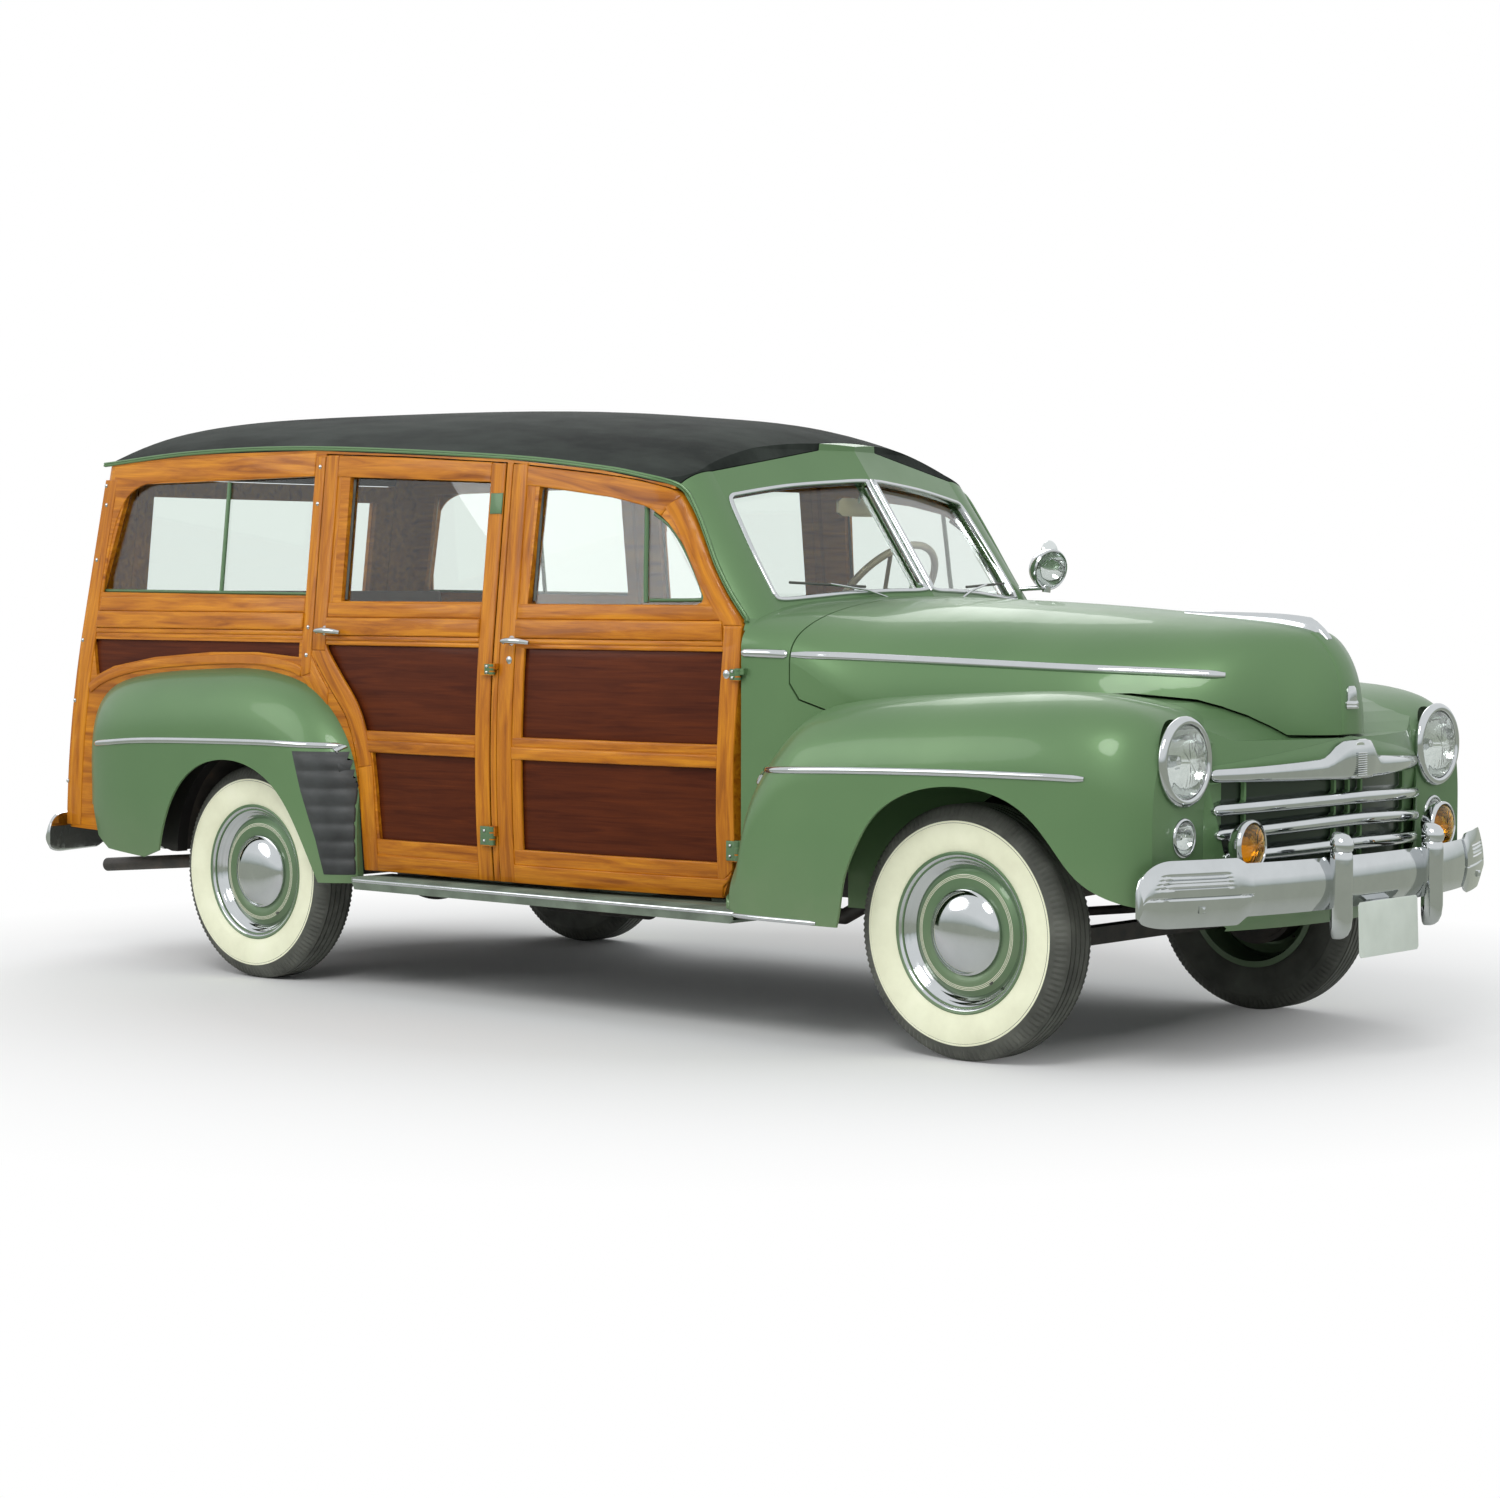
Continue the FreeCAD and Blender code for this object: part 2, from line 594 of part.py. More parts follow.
def lamp(centre, radius, depth, bulge):
    """A lamp turned about its own axis: shell, rounded bezel and a domed lens inside it."""
    x, y, z = centre
    profile = [(-depth, 0), (-depth, radius * 0.9), (0, radius * 0.9), (0, radius), (radius * 0.08, radius),
               (radius * 0.15, radius * 0.98), (radius * 0.2, radius * 0.93), (radius * 0.18, radius * 0.88),
               (radius * 0.12, radius * 0.86), (radius * 0.12 + bulge * 0.5, radius * 0.62),
               (radius * 0.12 + bulge * 0.86, radius * 0.32), (radius * 0.12 + bulge, 0)]
    face = Part.Face(polygon([V(u, 0, r) for u, r in profile]))
    solid = face.revolve(V(0, 0, 0), V(1, 0, 0), 360)
    solid.translate(V(x, y, z))
    return solid


lamps_front = [lamp(head_lamp, head_lamp_radius, 90, 22), lamp(park_lamp, park_lamp_radius, 60, 14)]
lamp_bores = [Part.makeCylinder(head_lamp_radius * 0.9 + 0.3, 260, V(head_lamp[0] - 150, head_lamp[1], head_lamp[2]),
                                V(1, 0, 0)),
              Part.makeCylinder(park_lamp_radius * 0.9 + 0.3, 260, V(park_lamp[0] - 120, park_lamp[1], park_lamp[2]),
                                V(1, 0, 0))]
for solid in lamps_front:
    apron_solids = [s.cut(solid).cut(mirror(solid)) for s in apron_solids]
for solid, bore in zip(lamps_front, lamp_bores):
    front_fender = front_fender.cut(bore)

# Rear fenders

rear_sections = [
    (-945.0, 832.0, 700.0), (-965.0, 856.0, 760.0), (-1003.0, 884.0, 828.0), (-1061.0, 908.0, 892.0),
    (-1158.0, 924.0, 962.0), (-1306.0, 930.0, 1009.0), (-1457.0, 932.0, 1026.0), (-1687.0, 931.0, 1022.0),
    (-1978.0, 922.0, 1003.0), (-2120.0, 905.0, 982.0), (-2200.0, 884.0, 958.0), (-2262.0, 858.0, 920.0),
    (-2305.0, 826.0, 870.0),
]
rear_fender_inner = 730.0
rear_arch_points = [(-1053, 345), (-1126, 494), (-1249, 651), (-1374, 712), (-1500, 724), (-1628, 693), (-1731, 615),
                    (-1793, 511), (-1824, 408)]


def rear_fender_section(x, half, top, inset):
    w = half - inset
    zt = top - inset
    zm = max(zt - 210, fender_low + 60)
    crest_y = 770.0
    points = []
    for step in range(0, 7):
        angle = math.pi / 2 * step / 6
        y = crest_y + (w - crest_y) * math.cos(angle) ** (2 / 2.2)
        points.append(V(x, y, zm + (zt - zm) * math.sin(angle) ** (2 / 2.2)))
    end = V(x, rear_fender_inner, zt)
    low = V(x, points[0].y - 4, fender_low)
    return Part.Wire([line(low, points[0]), spline(points), line(points[-1], end),
                      line(end, V(x, rear_fender_inner, fender_low)), line(V(x, rear_fender_inner, fender_low), low)])


rear_fender_outer = loft([rear_fender_section(x, h, t, 0.0) for x, h, t in rear_sections])
rear_fender_hollow = loft([rear_fender_section(x + (skin if x < -2000 else -skin if x > -1000 else 0), h, t, skin)
                           for x, h, t in rear_sections])
rear_fender = rear_fender_outer.cut(rear_fender_hollow)
rear_fender = rear_fender.cut(wire_prism(smooth_outline(rear_arch_points, [(-1824, 200), (-1053, 200)]), 600, 950))
rear_fender = rear_fender.cut(side_prism([(-1824, 408), (-1905, 382), (-2121, 398), (-2204, 438), (-2262, 540),
                                          (-2400, 540), (-2400, 200), (-1824, 200)], 600, 950))
rear_fender = rear_fender.cut(outer)
wheelhouse_radius = 425.0
wheelhouse_inner = 636.0


def wheelhouse_cylinder(radius, y0, y1):
    return Part.makeCylinder(radius, y1 - y0, V(rear_axle_x, y0, tyre_radius), V(0, 1, 0))


wood_side = shell.common(left).cut(roof_space).cut(front_space).cut(tailgate_opening).cut(door_holes)
wood_side = wood_side.cut(box(b_pillar_x + 1, 1200, 0, 950, 300, 1560)).cut(box(313, 1200, 0, 950, 1500, 2000))
wood_side = wood_side.cut(wheelhouse_cylinder(wheelhouse_radius, 600, 950))
wood_side = wood_side.cut(side_prism([(700, 300), (700, 395), (-1900, 395), (-2100, 440), (-2600, 456), (-2600, 300)],
                                     0, 950))
wood_side = wood_side.cut(box(-2700, -2200, -10, tail_edge + panel_gap, 300, 2000))
wood_side = wood_side.cut(side_prism(quarter_window, 450, 950))
wood_side = wood_side.cut(panel_layer.common(side_prism(quarter_panel, 450, 950)))
quarter_pane = glass_layer.common(side_prism(quarter_window, 450, 950))
rear_pan = shell.common(box(-2700, -2200, -tail_edge, tail_edge, 470, tailgate_low - panel_gap))
tail_header = shell.common(box(-2700, -2200, -tail_edge - panel_gap, tail_edge + panel_gap,
                               liftgate_high + panel_gap, 1900)).cut(roof_space)
put("roof", roof, tail_header, *gate_hinges(liftgate_axis, 1, 0.0))
cowl_hinges = [h.cut(hood_outer) for h in cowl_hinges]
put("cowl_body", screen_space, cowl_shell, cowl_corner, firewall, *(cowl_hinges + [mirror(h) for h in cowl_hinges]))
put("windshield", *windshield)
put("hood", hood)
for name, solid in (("front_fender", front_fender), ("rear_fender", rear_fender), ("wood_side", wood_side),
                    ("front_door", front_door), ("rear_door", rear_door), ("front_door_glass", front_pane),
                    ("rear_door_glass", rear_pane)):
    extra = {"front_door": front_hinges, "rear_door": rear_hinges, "wood_side": pillar_hinges}.get(name, [])
    put(name + "_left", solid, *extra)
    put(name + "_right", mirror(solid), *[mirror(h) for h in extra])
put("quarter_glass", quarter_pane, mirror(quarter_pane))
put("rear_pan", rear_pan, *gate_hinges(tailgate_axis, -1, 0.0))
put("tailgate", tailgate, *gate_hinges(tailgate_axis, 1, -30.0))
put("liftgate", liftgate, *gate_hinges(liftgate_axis, -1, -30.0))
put("liftgate_glass", liftgate_pane)
put("grille", *(grille_bars + grille_posts))
put("headlamps", lamps_front[0], mirror(lamps_front[0]))
put("parking_lamps", lamps_front[1], mirror(lamps_front[1]))

# Running gear: frame, floor, engine and exhaust

rail_inner, rail_outer = 380.0, 440.0
rail_depth = 75.0
rail_path = [(2040, 482), (1900, 490), (1600, 500), (1300, 500), (1050, 455), (800, 417), (-1020, 417), (-1180, 520),
             (-1448, 582), (-1750, 560), (-2050, 490), (-2460, 470)]


def strip(path, depth):
    """A side-view band of even depth along a path."""
    upper = [(x, z + depth / 2) for x, z in path]
    lower = [(x, z - depth / 2) for x, z in path]
    return upper + lower[::-1]


rail = side_prism(strip(rail_path, rail_depth), rail_inner, rail_outer)
rail = rail.cut(side_prism(strip(rail_path, rail_depth - 12), rail_inner - 1, rail_outer - 6))
front_spring_z = 462.0
cross_members = []
for x, z, length, depth in ((2005, 482, 60, 60), (front_axle_x, 500, 130, 75), (0, 417, 160, 70),
                            (rear_axle_x - 170, 570, 80, 70), (-2420, 472, 60, 60), (-700, 417, 60, 70)):
    cross_members.append(box(x - length / 2, x + length / 2, -rail_inner, rail_inner, z - depth / 2, z + depth / 2))
frame = [rail, mirror(rail)] + cross_members

# Floor, sills, wheelhouses and toe board

sill_outer = 757.0
kick_x = -1000.0
rear_floor_z = 640.0
sheet = 15.0
sill_stations = [kick_x, b_pillar_x, 0.0, 200.0, 400.0, 560.0]


def sill_band(width):
    """Plan of the floor's side edge, which draws in with the body, as far in as width."""
    edge = [V(x, sill_outer - taper(x), 0) for x in sill_stations]
    return edge + [p - V(0, width, 0) for p in edge[::-1]]


floor_half = Part.Face(polygon([V(kick_x, 0, 0)] + sill_band(0)[:len(sill_stations)] + [V(560, 0, 0)]))
floor_front = floor_half.extrude(V(0, 0, sheet))
floor_front.translate(V(0, 0, floor_z - sheet))
floor_front = floor_front.fuse(mirror(floor_front))
toe_board = side_prism([(560, floor_z), (560, floor_z - sheet), (hood_seam_x - 20, 715), (hood_seam_x - 20, 735)],
                       -640, 640)
riser = box(kick_x - sheet, kick_x, -sill_outer, sill_outer, floor_z - sheet, rear_floor_z)
floor_rear = box(-2600, kick_x - sheet, -900, 900, rear_floor_z - sheet, rear_floor_z).common(inner)
house_hole = wheelhouse_cylinder(wheelhouse_radius + skin, wheelhouse_inner, 950)
floor_rear = floor_rear.cut(house_hole).cut(mirror(house_hole))
riser = riser.cut(house_hole).cut(mirror(house_hole))
floor_front = floor_front.cut(house_hole).cut(mirror(house_hole))
wheelhouse = house_hole.cut(wheelhouse_cylinder(wheelhouse_radius, wheelhouse_inner + skin, 950)).common(inner)
wheelhouse = wheelhouse.cut(box(-2600, -500, 0, 950, 200, 400)).cut(wood_side)
sill_box = Part.Face(polygon(sill_band(67))).extrude(V(0, 0, floor_z - sheet - 400))
sill_box.translate(V(0, 0, 400))
pillar_foot = box(rear_front_x + 2, b_pillar_x - 2, sill_outer, 774, 400, floor_z - sheet).cut(wood_side)
floor_parts = [floor_front.fuse([toe_board, riser, floor_rear]), wheelhouse, mirror(wheelhouse), sill_box,
               mirror(sill_box), pillar_foot, mirror(pillar_foot)]
floor_mounts = []
for x in (400, -600):
    for y in (rail_inner + 5, -rail_outer + 5):
        floor_mounts.append(box(x - 25, x + 25, y, y + 50, 417 + rail_depth / 2, floor_z - sheet))

engine_block = box(880, 1330, -190, 190, 430, 860).fuse(box(620, 880, -110, 110, 300, 450))
engine_block = engine_block.cut(toe_board).cut(floor_front)
engine_mounts = [box(1000, 1060, y0, y0 + 244, 440, 470) for y0 in (-434, 190)]
radiator = box(1700, 1760, -300, 300, 470, 900)
radiator_feet = [box(1705, 1755, y0, y0 + 134, 470, 500) for y0 in (-434, 300)]

# Axles, springs, knuckles

kingpin_y = 640.0
kingpin_radius = 22.0
spindle_radius = 16.0
running_gap = 0.3


def cross_prism(outline, x0, x1):
    return Part.Face(polygon([V(x0, y, z) for y, z in outline])).extrude(V(x1 - x0, 0, 0))


def leaf_spring(x, width, eye_y, eye_z, mid_z, thick):
    """A transverse leaf spring, arched between two eyes."""
    lower, upper = [], []
    for step in range(-8, 9):
        t = step / 8
        z = mid_z + (eye_z - mid_z) * t * t
        lower.append((eye_y * t, z - thick * (1 - abs(t)) - 8))
        upper.append((eye_y * t, z))
    return cross_prism(lower + upper[::-1], x - width / 2, x + width / 2)


beam_outline = [(-kingpin_y, 330), (-560, 310), (-460, 272), (460, 272), (560, 310), (kingpin_y, 330),
                (kingpin_y, 375), (550, 365), (450, 322), (-450, 322), (-550, 365), (-kingpin_y, 375)]
beam = cross_prism(beam_outline, front_axle_x - 25, front_axle_x + 25)
kingpin_low, kingpin_high = 318.0, 388.0
for side in (1, -1):
    beam = beam.fuse(Part.makeCylinder(kingpin_radius + 6, kingpin_high - kingpin_low,
                                       V(front_axle_x, side * kingpin_y, kingpin_low)))
for side in (1, -1):
    beam = beam.cut(Part.makeCylinder(kingpin_radius - 8 + running_gap, 200,
                                      V(front_axle_x, side * kingpin_y, 250)))
front_spring = leaf_spring(front_axle_x, 50, 500, 395, front_spring_z, 45)
perches = []
for side in (1, -1):
    y0, y1 = sorted((side * 485, side * 515))
    perches.append(box(front_axle_x - 25, front_axle_x + 25, y0, y1, 325, 390).cut(front_spring).cut(beam))
wishbone = []
for side in (1, -1):
    points = [V(front_axle_x - 25, side * 560, 335), V(560, side * 30, 255)]
    rod = Part.makeCylinder(14, (points[1] - points[0]).Length, points[0], points[1] - points[0])
    wishbone.append(rod.cut(beam).cut(perches[0]).cut(perches[1]))
wishbone_ball = Part.makeSphere(26, V(552, 0, 255))
wishbone[0] = wishbone[0].fuse([wishbone[1], wishbone_ball])
front_axle = [beam.fuse(perches), front_spring, wishbone[0]]

spindle_end = front_track / 2 + 27.0
fork_gap = 1.0


def knuckle(side):
    pin = Part.makeCylinder(kingpin_radius - 8, 110, V(front_axle_x, kingpin_y, 298))
    lower = Part.makeCylinder(kingpin_radius + 6, kingpin_low - 298 - fork_gap, V(front_axle_x, kingpin_y, 298))
    upper = Part.makeCylinder(kingpin_radius + 6, 408 - kingpin_high - fork_gap,
                              V(front_axle_x, kingpin_y, kingpin_high + fork_gap))
    web = box(front_axle_x - 24, front_axle_x + 24, kingpin_y + 30, kingpin_y + 44, 298, 408)
    arms = [box(front_axle_x - 24, front_axle_x + 24, kingpin_y, kingpin_y + 44, 298, kingpin_low - fork_gap),
            box(front_axle_x - 24, front_axle_x + 24, kingpin_y, kingpin_y + 44, kingpin_high + fork_gap, 408)]
    spindle = Part.makeCylinder(spindle_radius, spindle_end - kingpin_y - 40, V(front_axle_x, kingpin_y + 40,
                                tyre_radius), V(0, 1, 0))
    plate = Part.makeCylinder(135, 4, V(front_axle_x, kingpin_y + 44, tyre_radius), V(0, 1, 0))
    arm = side_prism([(front_axle_x - 150, 300), (front_axle_x - 20, 300), (front_axle_x - 20, 316),
                      (front_axle_x - 150, 316)], kingpin_y - 18, kingpin_y + 18)
    solid = pin.fuse([lower, upper, web, spindle, plate, arm] + arms)
    return solid if side > 0 else mirror(solid)


rear_hub_end = rear_track / 2 + 27.0
rear_plate_y = rear_track / 2 - 54.0
axle_tube = Part.makeCylinder(40, 2 * rear_plate_y, V(rear_axle_x, -rear_plate_y, tyre_radius), V(0, 1, 0))
differential = Part.makeSphere(150, V(rear_axle_x, 0, tyre_radius))
torque_tube = Part.makeCylinder(38, 2070, V(rear_axle_x + 60, 0, tyre_radius), V(2070, 0, 20))
half_shafts = []
for side in (1, -1):
    half_shafts.append(Part.makeCylinder(spindle_radius, rear_hub_end - 640, V(rear_axle_x, side * 640, tyre_radius),
                                         V(0, side, 0)))
    half_shafts.append(Part.makeCylinder(135, 4, V(rear_axle_x, side * rear_plate_y, tyre_radius), V(0, side, 0)))
rear_axle_body = axle_tube.fuse([differential, torque_tube] + half_shafts)
rear_axle_body = rear_axle_body.cut(engine_block).cut(cross_members[2]).cut(cross_members[5])
rear_spring_x = rear_axle_x - 170.0
rear_spring = leaf_spring(rear_spring_x, 60, 560, 410, 535, 60)
spring_arms = []
for side in (1, -1):
    y0, y1 = sorted((side * 530, side * 570))
    arm = box(rear_spring_x - 30, rear_axle_x + 10, y0, y1, 345, 375).fuse(
        box(rear_spring_x - 30, rear_spring_x + 30, y0, y1, 345, 405)).cut(rear_spring)
    spring_arms.append(arm)
rear_axle = [rear_axle_body.fuse(spring_arms), rear_spring]

# Wheels and tyres, turned about their own axis; v runs outboard from the middle of the tyre

hub_bore = spindle_radius + running_gap


def turned(profile, y_centre, x_centre, side):
    points = [V(0, v, r) for v, r in profile]
    solid = Part.Face(polygon(points)).revolve(V(0, 0, 0), V(0, 1, 0), 360)
    if side < 0:
        solid = mirror(solid)
    solid.translate(V(x_centre, side * y_centre, tyre_radius))
    return solid


rim_barrel = [(-68, 203), (68, 203), (68, rim_radius), (63, rim_radius), (61, 209), (-61, 209), (-63, rim_radius),
              (-68, rim_radius)]
wheel_disc = [(8, 204), (20, 196), (30, 175), (40, 150), (44, 125), (38, 96), (30, 60), (30, 30), (24, 30), (24, 60),
              (31, 96), (37, 125), (33, 150), (24, 171), (14, 190), (0, 204)]
drum_profile = [(-46, 142), (-46, 150), (30, 150), (34, 146), (36, 100), (29, 100), (24, 142)]
hub_profile = [(-40, hub_bore), (-40, 42), (28, 42), (28, hub_bore)]
cap_profile = [(28, 0), (28, 96), (44, 96), (56, 84), (66, 60), (71, 30), (72, 0), (68, 0), (67, 30), (62, 58),
               (52, 80), (42, 90), (33, 90), (33, 0)]
tyre_profile = [(-60, 209.5), (-62.5, 222), (-76, 248), (-tyre_width / 2, 285), (-76, 322), (-58, 345),
                (-30, tyre_radius), (30, tyre_radius), (58, 345), (76, 322), (tyre_width / 2, 285), (76, 248),
                (62.5, 222), (60, 209.5)]


def build_wheel(track, x, side):
    parts = [turned(p, track / 2, x, side) for p in (rim_barrel, wheel_disc, drum_profile, hub_profile, cap_profile)]
    return parts[0].fuse(parts[1:]), turned(tyre_profile, track / 2, x, side)


# Cabin: seats, dashboard, steering column and wheel

seat_half = 690.0
seat_seam = 0.3


def seat(x_front, x_back, z_low, z_seat, z_top, y0, y1):
    base = box(x_back + 40, x_front - 40, y0 + 30, y1 - 30, z_low, z_seat - 150)
    cushion = side_prism([(x_back, z_seat - 150), (x_front, z_seat - 150), (x_front + 15, z_seat - 60),
                          (x_front - 25, z_seat), (x_back + 60, z_seat - 25), (x_back, z_seat - 60)], y0, y1)
    back = side_prism([(x_back - seat_seam, z_seat - 150), (x_back - 125, z_seat - 150), (x_back - 205, z_top - 20),
                       (x_back - 175, z_top), (x_back - 115, z_top - 20), (x_back - seat_seam, z_seat - 60)], y0, y1)
    return base, cushion, back


front_seat = seat(120, -330, floor_z, 800, 1230, -seat_half, seat_half)
middle_seat = seat(-560, -980, floor_z, 800, 1210, -seat_half + 160, seat_half)
rear_seat = seat(-1420, -1840, rear_floor_z, 910, 1290, -600, 600)
dash_outline = [(545, 1020), (520, 1100), (545, 1235), (600, 1250), (640, 1250), (640, 1190), (570, 1190), (560, 1100),
                (575, 1020)]
dash_space = Part.Face(arch_section(500.0, *hood_sections[1][1:], skin + 6)).extrude(V(160, 0, 0))
dashboard = side_prism(dash_outline, -735, 735).common(inner).common(dash_space)
dash_half = 645.0                   # half width where the front doors' inner corners swing past
dash_end = box(400, front_hinge_x - 2, dash_half, 900, 900, 1400)
dashboard = dashboard.cut(dash_end).cut(mirror(dash_end))
column_angle = math.radians(38)
wheel_centre = V(235, 380, 1262)
column_axis = V(math.cos(column_angle), 0, -math.sin(column_angle))
column_start = wheel_centre + column_axis * 60
column_length = (hood_seam_x - 42 - column_start.x) / column_axis.x
column = Part.makeCylinder(22, column_length, column_start, column_axis)
column = column.cut(dashboard)
steer_rim = Part.makeTorus(208, 12, wheel_centre, column_axis)
steer_hub = Part.makeCylinder(30, 40, wheel_centre - column_axis * 5, column_axis)
steer_shaft = Part.makeCylinder(12, 60 - 35 - running_gap, wheel_centre + column_axis * 35, column_axis)
spokes = []
for angle in (0, 120, 240):
    direction = V(0, 1, 0)
    direction = FreeCAD.Rotation(column_axis, angle).multVec(direction)
    spokes.append(Part.makeCylinder(7, 205, wheel_centre, direction))
steering_wheel = steer_rim.fuse([steer_hub, steer_shaft] + spokes)

# Outside fittings

board_top = door_bottom - 14.0
board_outer = 902.0
board_inner = 725.0
running_board = side_prism([(738, board_top), (738, board_top - 12), (700, board_top - 38), (-880, board_top - 38),
                            (-894, board_top - 12), (-894, board_top)], board_inner, board_outer)
running_board = running_board.cut(fender_outer).cut(rear_fender_outer).cut(outer.common(box(-2700, 900, 0, 950, 380,
                                                                                           2000)))
board_arms = []
for x in (500, 0, -600):
    board_arms.append(box(x - 25, x + 25, rail_outer, board_inner, 344, 380))


bumper_half = 900.0
bumper_cap = 590.0              # where the taller grooved end caps begin
bar_thick = 14.0
iron_inner, iron_outer = 404.0, 434.0
guard_y = 245.0
front_guard, rear_guard = 46.0, 44.0
front_sweep, rear_sweep = 198.0, 178.0


def bow_share(y):
    """Share of a bumper's sweep that it has fallen back at y."""
    return (abs(y) / bumper_half) ** 2.2


front_bumper_x = front_axle_x + front_overhang - front_guard + front_sweep * bow_share(guard_y)
rear_bumper_x = rear_axle_x - rear_overhang + rear_guard - rear_sweep * bow_share(guard_y)


def bumper(mid_x, sweep, z0, z1, thick, y0=-bumper_half, y1=bumper_half):
    """A bowed bar seen from above, between y0 and y1."""
    sign = 1 if mid_x > 0 else -1
    front, back = [], []
    for step in range(0, 13):
        y = y0 + (y1 - y0) * step / 12
        x = mid_x - sign * sweep * bow_share(y)
        front.append(V(x, y, z0))
        back.append(V(x - sign * thick, y, z0))
    face = Part.Face(Part.Wire([spline(front), line(front[-1], back[-1]), spline(back[::-1]),
                                line(back[0], front[0])]))
    return face.extrude(V(0, 0, z1 - z0))


def end_cap(mid_x, sweep, z0, z1):
    """The taller cap over one end of a bumper, with grooves along it."""
    sign = 1 if mid_x > 0 else -1
    cap = bumper(mid_x + sign * 6, sweep, z0, z1, 20, bumper_cap, bumper_half)
    pitch = (z1 - z0) / 6
    for row in range(1, 6):
        z = z0 + row * pitch
        cap = cap.cut(bumper(mid_x + sign * 6, sweep, z - 4, z + 4, 4, bumper_cap - 5, bumper_half + 5))
    return cap


def bumper_guard(face_x, depth, z0, z1, half):
    """An upright guard with a rounded, bullet-shaped front, standing on the bumper's face."""
    sign = 1 if face_x > 0 else -1
    rows = [(z0, 0.45), (z0 + 12, 0.75), (z0 + 60, 1.0), (z1 - 60, 1.0), (z1 - 22, 0.8), (z1 - 6, 0.45), (z1, 0.2)]
    outline = [(face_x, z0)] + [(face_x + sign * depth * share, z) for z, share in rows] + [(face_x, z1)]
    plan = [V(face_x - sign, -half, z0), V(face_x + sign * depth * 0.55, -half, z0), V(face_x + sign * depth, 0, z0),
            V(face_x + sign * depth * 0.55, half, z0), V(face_x - sign, half, z0)]
    front = arc(plan[1], plan[2], plan[3])
    wire = Part.Wire([line(plan[0], plan[1]), front, line(plan[3], plan[4]), line(plan[4], plan[0])])
    column = Part.Face(wire).extrude(V(0, 0, z1 - z0))
    return column.common(side_prism(outline, -half - 1, half + 1))


front_bumper = bumper(front_bumper_x, front_sweep, 432, 572, bar_thick, -bumper_cap, bumper_cap)
rear_bumper = bumper(rear_bumper_x, rear_sweep, 378, 490, bar_thick, -bumper_cap, bumper_cap)
front_cap = end_cap(front_bumper_x, front_sweep, 412, 588)
rear_cap = end_cap(rear_bumper_x, rear_sweep, 364, 504)
guards = []
for y in (-guard_y, guard_y):
    guard = bumper_guard(front_bumper_x - front_sweep * bow_share(guard_y), front_guard, 352, 640, 27)
    guard.translate(V(0, y, 0))
    guards.append(guard.cut(front_bumper))
    guard = bumper_guard(rear_bumper_x + rear_sweep * bow_share(guard_y), rear_guard, 330, 566, 25)
    guard.translate(V(0, y, 0))
    guards.append(guard.cut(rear_bumper))
iron_front = front_bumper_x - front_sweep * bow_share(iron_outer) - 3
iron_rear = rear_bumper_x + rear_sweep * bow_share(iron_outer) + 3
front_iron = box(1990, iron_front, iron_inner, iron_outer, 456, 500).cut(front_bumper)
rear_iron = box(iron_rear, -2400, iron_inner, iron_outer, 446, 468).cut(rear_bumper)
iron_hole = box(1990, 2260, iron_inner - 4, iron_outer + 4, 452, 504)
iron_holes = [iron_hole, mirror(iron_hole)]
apron_solids = [s.cut(iron_holes[0]).cut(iron_holes[1]) for s in apron_solids]
muffler = Part.makeCylinder(65, 420, V(-200, -260, 300), V(-1, 0, 0))


def pipe(points, radius):
    parts = []
    for a, b in zip(points, points[1:]):
        parts.append(Part.makeCylinder(radius, (b - a).Length, a, b - a))
        parts.append(Part.makeSphere(radius, b))
    parts.pop()
    return parts[0].fuse(parts[1:])


exhaust = pipe([V(900, -205, 470), V(600, -260, 300), V(-200, -260, 300)], 24).cut(engine_block).fuse(
    [muffler, pipe([V(-620, -260, 300), V(-1150, -300, 300), V(-1300, -500, 470), V(-1600, -500, 480),
                    V(-1900, -500, 350), V(-2640, -500, 288)], 24)])
for obstacle in frame + [spring_arms[0], spring_arms[1], rear_spring, rear_axle_body]:
    exhaust = exhaust.cut(obstacle)
fuel_tank = box(-2380, -1900, -330, 330, 330, 440)
tank_straps = [box(x - 15, x + 15, -rail_inner, rail_inner, 440, 452) for x in (-2000, -2280)]

put("frame_rails", *frame)
put("floor_pan", *(floor_parts + floor_mounts))
put("engine", engine_block, *engine_mounts)
put("radiator", radiator, *radiator_feet)
put("front_axle", *front_axle)
put("rear_axle", *rear_axle)
put("knuckle_left", knuckle(1))
put("knuckle_right", knuckle(-1))
for name, track, x, side in (("front_left", front_track, front_axle_x, 1), ("front_right", front_track, front_axle_x, -1),
                             ("rear_left", rear_track, rear_axle_x, 1), ("rear_right", rear_track, rear_axle_x, -1)):
    wheel, tyre = build_wheel(track, x, side)
    put("wheel_" + name, wheel)
    put("tyre_" + name, tyre)
put("front_seat", *front_seat)
put("rear_seats", *(middle_seat + rear_seat))
put("dashboard", dashboard, column)
put("steering_wheel", steering_wheel)
put("running_boards", running_board, mirror(running_board), *(board_arms + [mirror(a) for a in board_arms]))
put("front_bumper", front_bumper, front_cap, mirror(front_cap), guards[0], guards[2], front_iron, mirror(front_iron))
put("rear_bumper", rear_bumper, rear_cap, mirror(rear_cap), guards[1], guards[3], rear_iron, mirror(rear_iron))
put("exhaust", exhaust)
put("fuel_tank", fuel_tank, *tank_straps)
put("front_apron", *apron_solids)
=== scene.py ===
"""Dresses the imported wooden-bodied station wagon: camera, studio, materials and fine detail."""
import bpy
import bmesh
import math
from mathutils import Matrix, Vector
from mathutils.bvhtree import BVHTree


